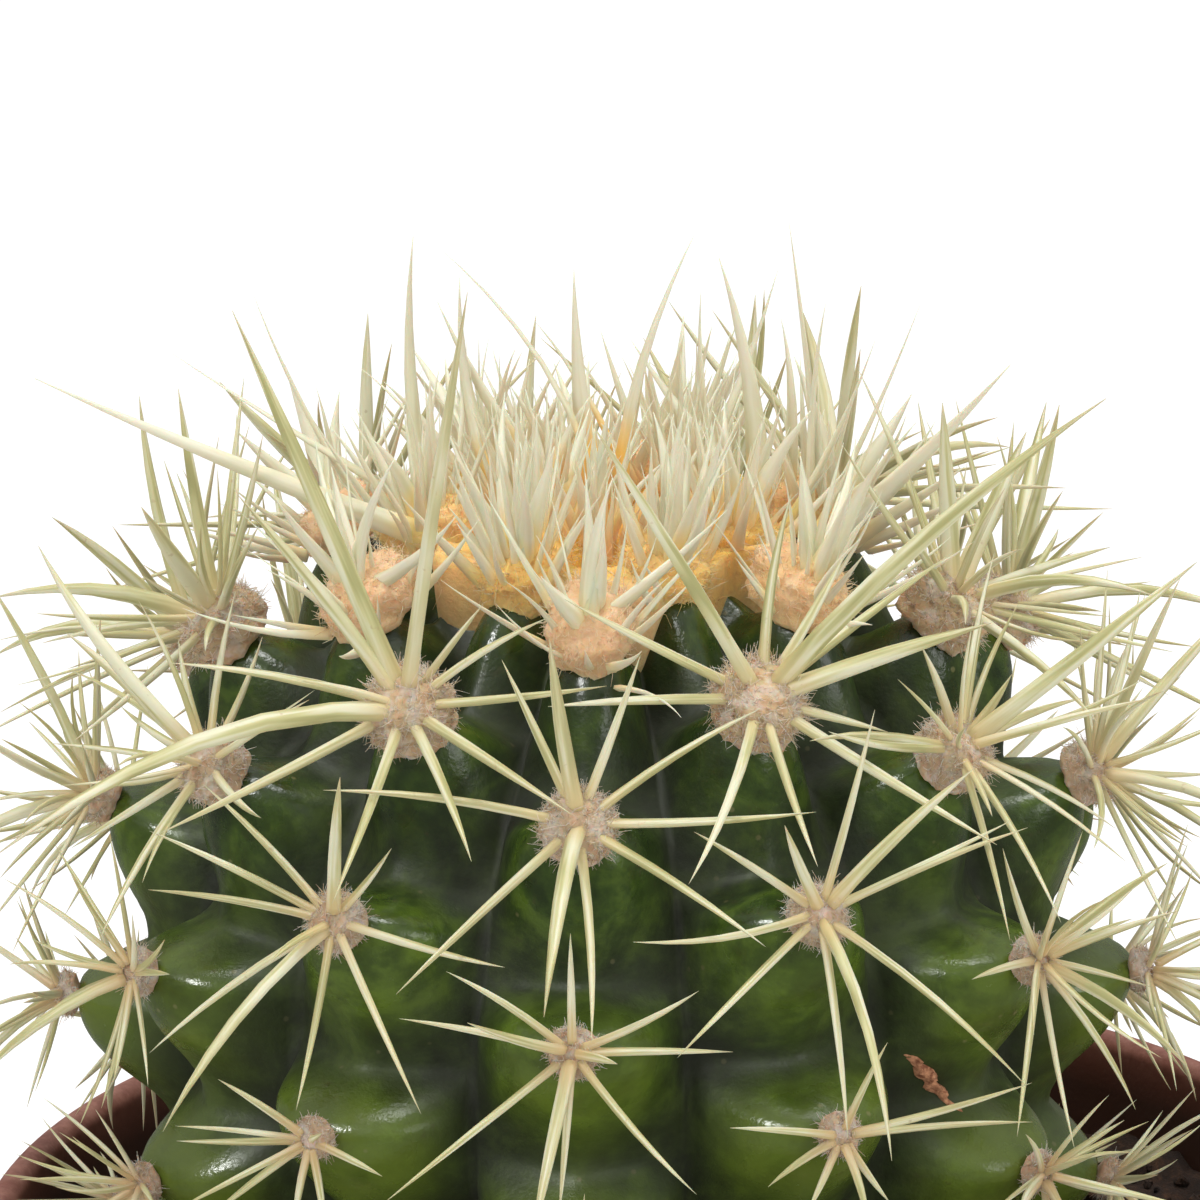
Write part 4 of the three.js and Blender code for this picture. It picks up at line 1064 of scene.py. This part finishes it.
def makeCrownFelt(young, material):
    # The cap and a lobe for each young areole are one piece, and the hairs on them another.
    t, normal, grid, thickness = crownCap()
    top = stemPoint(0, 0, 1 - sunk(0)) + np.array([0, 0, crown["thickness"]])
    points, faces = closedGrid(grid, top, plant["centre"] + np.array([0, 0, crown["under"]]))
    far = np.concatenate([t.ravel() / crown["edge"], [0, 1]])
    wool = [(points, faces, {"tint": np.full(len(points), felt["tint"]), "far": far})]
    rng = np.random.default_rng(43)
    weight = (np.sin(np.radians(t)) * (thickness > crown["hairsWhere"])).ravel()
    chosen = rng.choice(weight.size, crown["hairs"], p=weight / weight.sum())
    starts = grid.reshape(-1, 3)[chosen] + rng.normal(0, crown["hairShift"], (crown["hairs"], 3))
    outward = normal.reshape(-1, 3)[chosen]
    starts -= outward * crown["hairSunk"]
    fluff = hairs(starts, outward, crown["hairLength"], crown["hairRadius"], crown["hairCurl"], 44)
    fluff[2]["far"] = np.repeat(t.ravel()[chosen] / crown["edge"], hair["sides"] * hair["rings"])
    nap = [fluff]
    for index, areole in enumerate(young):
        shape = np.array(crown["lobe"]) * areole["size"]
        rise = crown["lobeRise"] * areole["size"]
        for parts, part in zip((wool, nap), woolDome(areole, shape, rise, crown["lobeHairs"], 100 + index)):
            part[2]["far"] = np.full(len(part[0]), areole["t"] / crown["edge"])
            parts.append(part)
    for name, parts in (("crownFelt", wool), ("crownHairs", nap)):
        points, faces, attributes = joined(parts)
        handOver(putMesh(name, points, faces, material, **attributes), "crown_wool", "crown")


def crownFeltMaterial():
    # Wool that is orange-yellow at the growing point and tan-peach further out, with brown specks.
    # its glow is painted light that lifts the shaded hollows between the lobes
    light = letsLight(0.5, 2.0, (1, 0.72, 0.38), 0.05)
    material, tree, shader = newMaterial("crownWool", {"Roughness": 0.95} | light)
    far, tint = valuesOf(tree, "far", "tint")
    place = fit(tree, times(tree, grain(tree, 9, 3), 0.8, far), 0.4, 2.0)
    yellows = (0.28, (0.92, 0.50, 0.04)), (0.52, (0.86, 0.55, 0.17)), (0.80, (0.79, 0.52, 0.31))
    body = layered(
        tree, ramp(tree, place, *yellows),
        (fit(tree, grain(tree, 1.2, 4), 0.44, 0.64, 0, 0.45), (0.60, 0.33, 0.12)),
        (fit(tree, tint, 0.42, 0.9, 0, 0.65), (0.88, 0.71, 0.47)),  # pale hairs
        (fit(tree, grain(tree, 0.9, 2), 0.72, 0.78, 0, 0.6), (0.20, 0.09, 0.06)),
    )
    colourBy(tree, shader, body)
    relief(tree, shader, grain(tree, 0.35, 4), 0.2)
    return material


def skinBelow(points, directions, depth):
    # How far back along each direction the ellipsoid, shrunk by `depth`, is met: the nearer root of
    # its quadratic equation, or the point closest to it where the line passes by.
    axes = np.array([plant["radius"], plant["radius"], plant["crownHeight"]]) - depth
    p, d = (points - plant["centre"]) / axes, -directions / axes
    a, b, c = (d * d).sum(-1), (p * d).sum(-1), (p * p).sum(-1) - 1
    return (-b - np.sqrt(np.maximum(b * b - a * c, 0))) / a


def rootsOfNeedles(tips, axis, young):
    # Where each needle of the crown starts: the point of its line nearest an areole's middle, or
    # for a line that passes none, the point where it meets the skin.
    middles = np.array([areole["at"] + areole["normal"] * blade["rootHeight"] for areole in young])
    back = ((tips[:, None] - middles[None]) * axis[:, None]).sum(-1)
    aside = np.linalg.norm(tips[:, None] - axis[:, None] * back[..., None] - middles[None], axis=-1)
    nearest, furthest = blade["rootRange"]
    aside[(back < nearest) | (back > furthest)] = np.inf
    row, chosen = np.arange(len(tips)), aside.argmin(1)
    isNear = aside[row, chosen] < blade["rootMiss"]
    back = np.where(isNear, back[row, chosen], skinBelow(tips, axis, blade["rootDepth"]))
    return tips - axis * back[:, None], back


def facingOut(outward, axis):
    # The flat side of a young spine looks away from the growing point.
    level = outward * np.array([1, 1, 0.2])
    return unit(level - axis * (level * axis).sum(-1, keepdims=True) + 1e-4)


def blades(starts, ends, ahead, length, radius, rng, seed):
    # Broad flat bars, a little bowed. The nearer they start to the growing point, the fresher.
    outward = starts - plant["centre"]
    bow = blade["bow"] * rng.normal(size=ends.shape) * length[:, None]
    facing = facingOut(unit(outward), ahead)
    bars = spineBars(starts, (starts + ends) / 2 + bow, ends, facing, radius, seed, **bladeShape)
    far = np.linalg.norm(outward[:, :2], axis=1) / blade["freshReach"]
    fresh = np.clip(blade["freshMost"] - far, 0, 1)
    bars[2]["fresh"] = spread(fresh, len(spine["rings"]), spine["sides"])
    return bars


def between(ranges, outer, share):
    # A value that is a share of the way through a range, which goes from the first of two ranges on
    # the inner areoles to the second on the outer ones.
    (low, high), (outLow, outHigh) = ranges
    return low + (outLow - low) * outer + (high - low + (outHigh - outLow - high + low) * outer) * share


def makeCrownSpines(young, material):
    # The young spines of the solid, broad and flat, and shorter ones between them: from a seeded
    # place on each areole along its normal, tipped upwards and leaning apart.
    rng = np.random.default_rng(51)
    keys, tips, axis, total, _ = needleTips("crown")
    roots, back = rootsOfNeedles(keys[tips], axis, young)
    radius = needleRadius(blade["solidWidth"] * back, total)
    large = blades(roots, keys[tips], axis, back, radius, rng, 52)
    outer = smoothstep(np.array([areole["t"] for areole in young]), *blade["outer"])
    each = np.round(np.interp(outer, (0, 1), blade["count"])).astype(int)
    sides = ([areole[key] for areole in young] for key in ("at", "normal", "right"))
    at, normal, right = (np.repeat(side, each, axis=0) for side in sides)
    up = np.cross(normal, right)
    outer = np.repeat(outer, each)
    apart, upright = (np.interp(outer, (0, 1), blade[key])[:, None] for key in ("spread", "upright"))
    leans = rng.normal(size=(len(outer), 2, 1)) * apart[:, None]
    ahead = (1 - upright) * normal + upright * np.array([0, 0, 1]) + leans[:, 0] * right + leans[:, 1] * up
    ahead = unit(ahead)
    starts = at + blade["rootSpread"] * (leans[:, 0] * right + leans[:, 1] * up)
    share = rng.uniform(0, 1, (2, len(outer)))
    length = between(blade["lengths"], outer, share[0])
    size = between(blade["radii"], outer, share[1] * share[0] ** 0.5)
    small = blades(starts, starts + ahead * length[:, None], ahead, length, size, rng, 53)
    points, faces, attributes = joined([large, small])
    return handOver(putMesh("crownSpines", points, faces, material, **attributes), "crown_wool", "crown")


def youngSpineMaterial():
    # Pale ivory blades with faint streaks; the newest are orange-yellow low down.
    # its glow is painted light that lifts the self-shaded crown
    light = letsLight(0.3, 1.0, (1, 0.96, 0.76), 0.085)
    material, tree, shader = newMaterial("youngIvory", {"Roughness": 0.55} | light)
    along, across, place, tint, fresh = valuesOf(tree, "along", "across", "place", "tint", "fresh")
    ivories = (0.34, (0.58, 0.56, 0.34)), (0.48, (0.65, 0.62, 0.42)), (0.62, (0.72, 0.70, 0.54))
    reach = fit(tree, fresh, 0.3, 1, 3.5, 7.8)
    golds = (0.0, (0.72, 0.60, 0.30)), (0.45, (0.82, 0.60, 0.13)), (1.0, (0.86, 0.50, 0.02))
    body = layered(
        tree, ramp(tree, streaks(tree, across, place, tint), *ivories),
        (fit(tree, along, 0.25, 0.75, 0, 0.6), (0.68, 0.68, 0.54)),
        (fit(tree, place, times(tree, reach, 0.45), reach, 0.95, 0.0), ramp(tree, fresh, *golds)),
    )
    colourBy(tree, shader, body)
    return material


studio = {
    "floorSize": 8.0,  # metres
    "floorColour": 0.45,
    "floorGlow": 0.62,
    "distance": 752.0,  # from the plant's centre to the camera, in millimetres
    "elevation": 20.96,  # degrees that the camera looks down
    "lens": 270.0,
    "aimRight": -0.57,  # where it aims, to the right of that centre and above it in the picture
    "aimUp": 30.65,
    "world": (0.22, 0.85),  # the light from the horizon and from overhead
    "lights": {  # place and size in metres, and power
        "key": ((-0.55, -0.60, 0.95), 0.24, 3.6),
        "fill": ((0.85, -0.65, 0.55), 0.50, 3.0),
        "over": ((0.10, 0.10, 1.10), 0.30, 4.4),
        "gleam": ((-0.50, -0.62, 0.95), 0.26, 5.5),
    },
}


def makeStage():  # a pale floor that glows a little
    material, _, _ = newMaterial("paleFloor", {
        "Base Color": (*[studio["floorColour"]] * 3, 1), "Roughness": 0.9,
        "Emission Color": (1, 1, 1, 1), "Emission Strength": studio["floorGlow"],
    })
    half = studio["floorSize"] / mm / 2
    corners = np.array([(-half, -half, 0), (half, -half, 0), (half, half, 0), (-half, half, 0)])
    floor = putMesh("floor", corners, [np.array([[0, 1, 2, 3]])], material, smooth=False)
    floor.visible_glossy = False  # the waxy skin reflects the lights but not the floor


def addLight(name, place, size, power):  # a soft square light aimed at the plant
    data = bpy.data.lights.new(name, "AREA")
    data.size, data.energy = size, power
    lamp = bpy.data.objects.new(name, data)
    lamp.location = place
    lamp.visible_diffuse = name != "gleam"  # the gleam only adds shine
    target = Vector(plant["centre"] * mm)
    lamp.rotation_euler = (target - lamp.location).to_track_quat("-Z", "Y").to_euler()
    bpy.context.scene.collection.objects.link(lamp)


def makeWorld():  # white light that grows from the horizon to overhead
    world = bpy.data.worlds.new("studio")
    world.use_nodes = True
    tree = world.node_tree
    background = tree.nodes["Background"]
    background.inputs["Color"].default_value = (1, 1, 1, 1)
    direction = node(tree, "ShaderNodeTexCoord").outputs["Generated"]
    height = node(tree, "ShaderNodeSeparateXYZ", {"Vector": direction}).outputs["Z"]
    tree.links.new(fit(tree, height, 0, 0.9, *studio["world"]), background.inputs["Strength"])
    return world


def makeStudio():
    scene = bpy.context.scene
    scene.world = makeWorld()
    scene.view_settings.view_transform = "Standard"
    for name, (place, size, power) in studio["lights"].items():
        addLight(name, place, size, power)
    elevation = math.radians(studio["elevation"])
    back = Vector((0, -math.cos(elevation), math.sin(elevation)))
    up = Vector((0, math.sin(elevation), math.cos(elevation)))
    aim = Vector(plant["centre"]) + Vector((studio["aimRight"], 0, 0)) + up * studio["aimUp"]
    data = bpy.data.cameras.new("camera")
    data.lens, data.sensor_width = studio["lens"], 36
    data.clip_start, data.clip_end = 0.01, 50
    camera = bpy.data.objects.new("camera", data)
    camera.location = (Vector(plant["centre"]) + back * studio["distance"]) * mm
    camera.rotation_euler = (aim * mm - camera.location).to_track_quat("-Z", "Y").to_euler()
    scene.collection.objects.link(camera)
    scene.camera = camera


# the assembly
makeStage()
makeStudio()
areoles = areoleList()
free = [areole for areole in areoles if areole["turn"] > plant["crownBelow"]]
young = [areole for areole in areoles if areole["turn"] <= plant["crownBelow"]]
makePot(potMaterial())
print("pot made")
peat, coir = soilMaterial(), fibreMaterial()
makeSoil(peat)
makeCrumbs(peat)
makeSoilFibres(coir)
print("soil made")
makeStem(skinMaterial())
makeScab(scabMaterial())
print("stem made")
straw, wool = spineMaterial(), feltMaterial()
for rib in range(plant["ribs"]):
    mine = [(index, areole) for index, areole in enumerate(free) if areole["rib"] == rib]
    names = [areole["name"] for _, areole in mine]
    bars = [areoleSpines(areole, index) for index, areole in mine]
    bars += [added for index, areole in mine for added in addedSpines(areole, index)]
    points, faces, attributes = joined(bars)
    handOver(putMesh(f"spinesRib{rib + 1:02d}", points, faces, straw, **attributes), "spine_straw", *names)
    points, faces, attributes = joined([areoleFelt(areole, index) for index, areole in mine])
    handOver(putMesh(f"feltRib{rib + 1:02d}", points, faces, wool, **attributes), "crown_wool")
print("areoles made")
makeCrownFelt(young, crownFeltMaterial())
makeCrownSpines(young, youngSpineMaterial())
print("crown made")

bpy.context.view_layer.update()
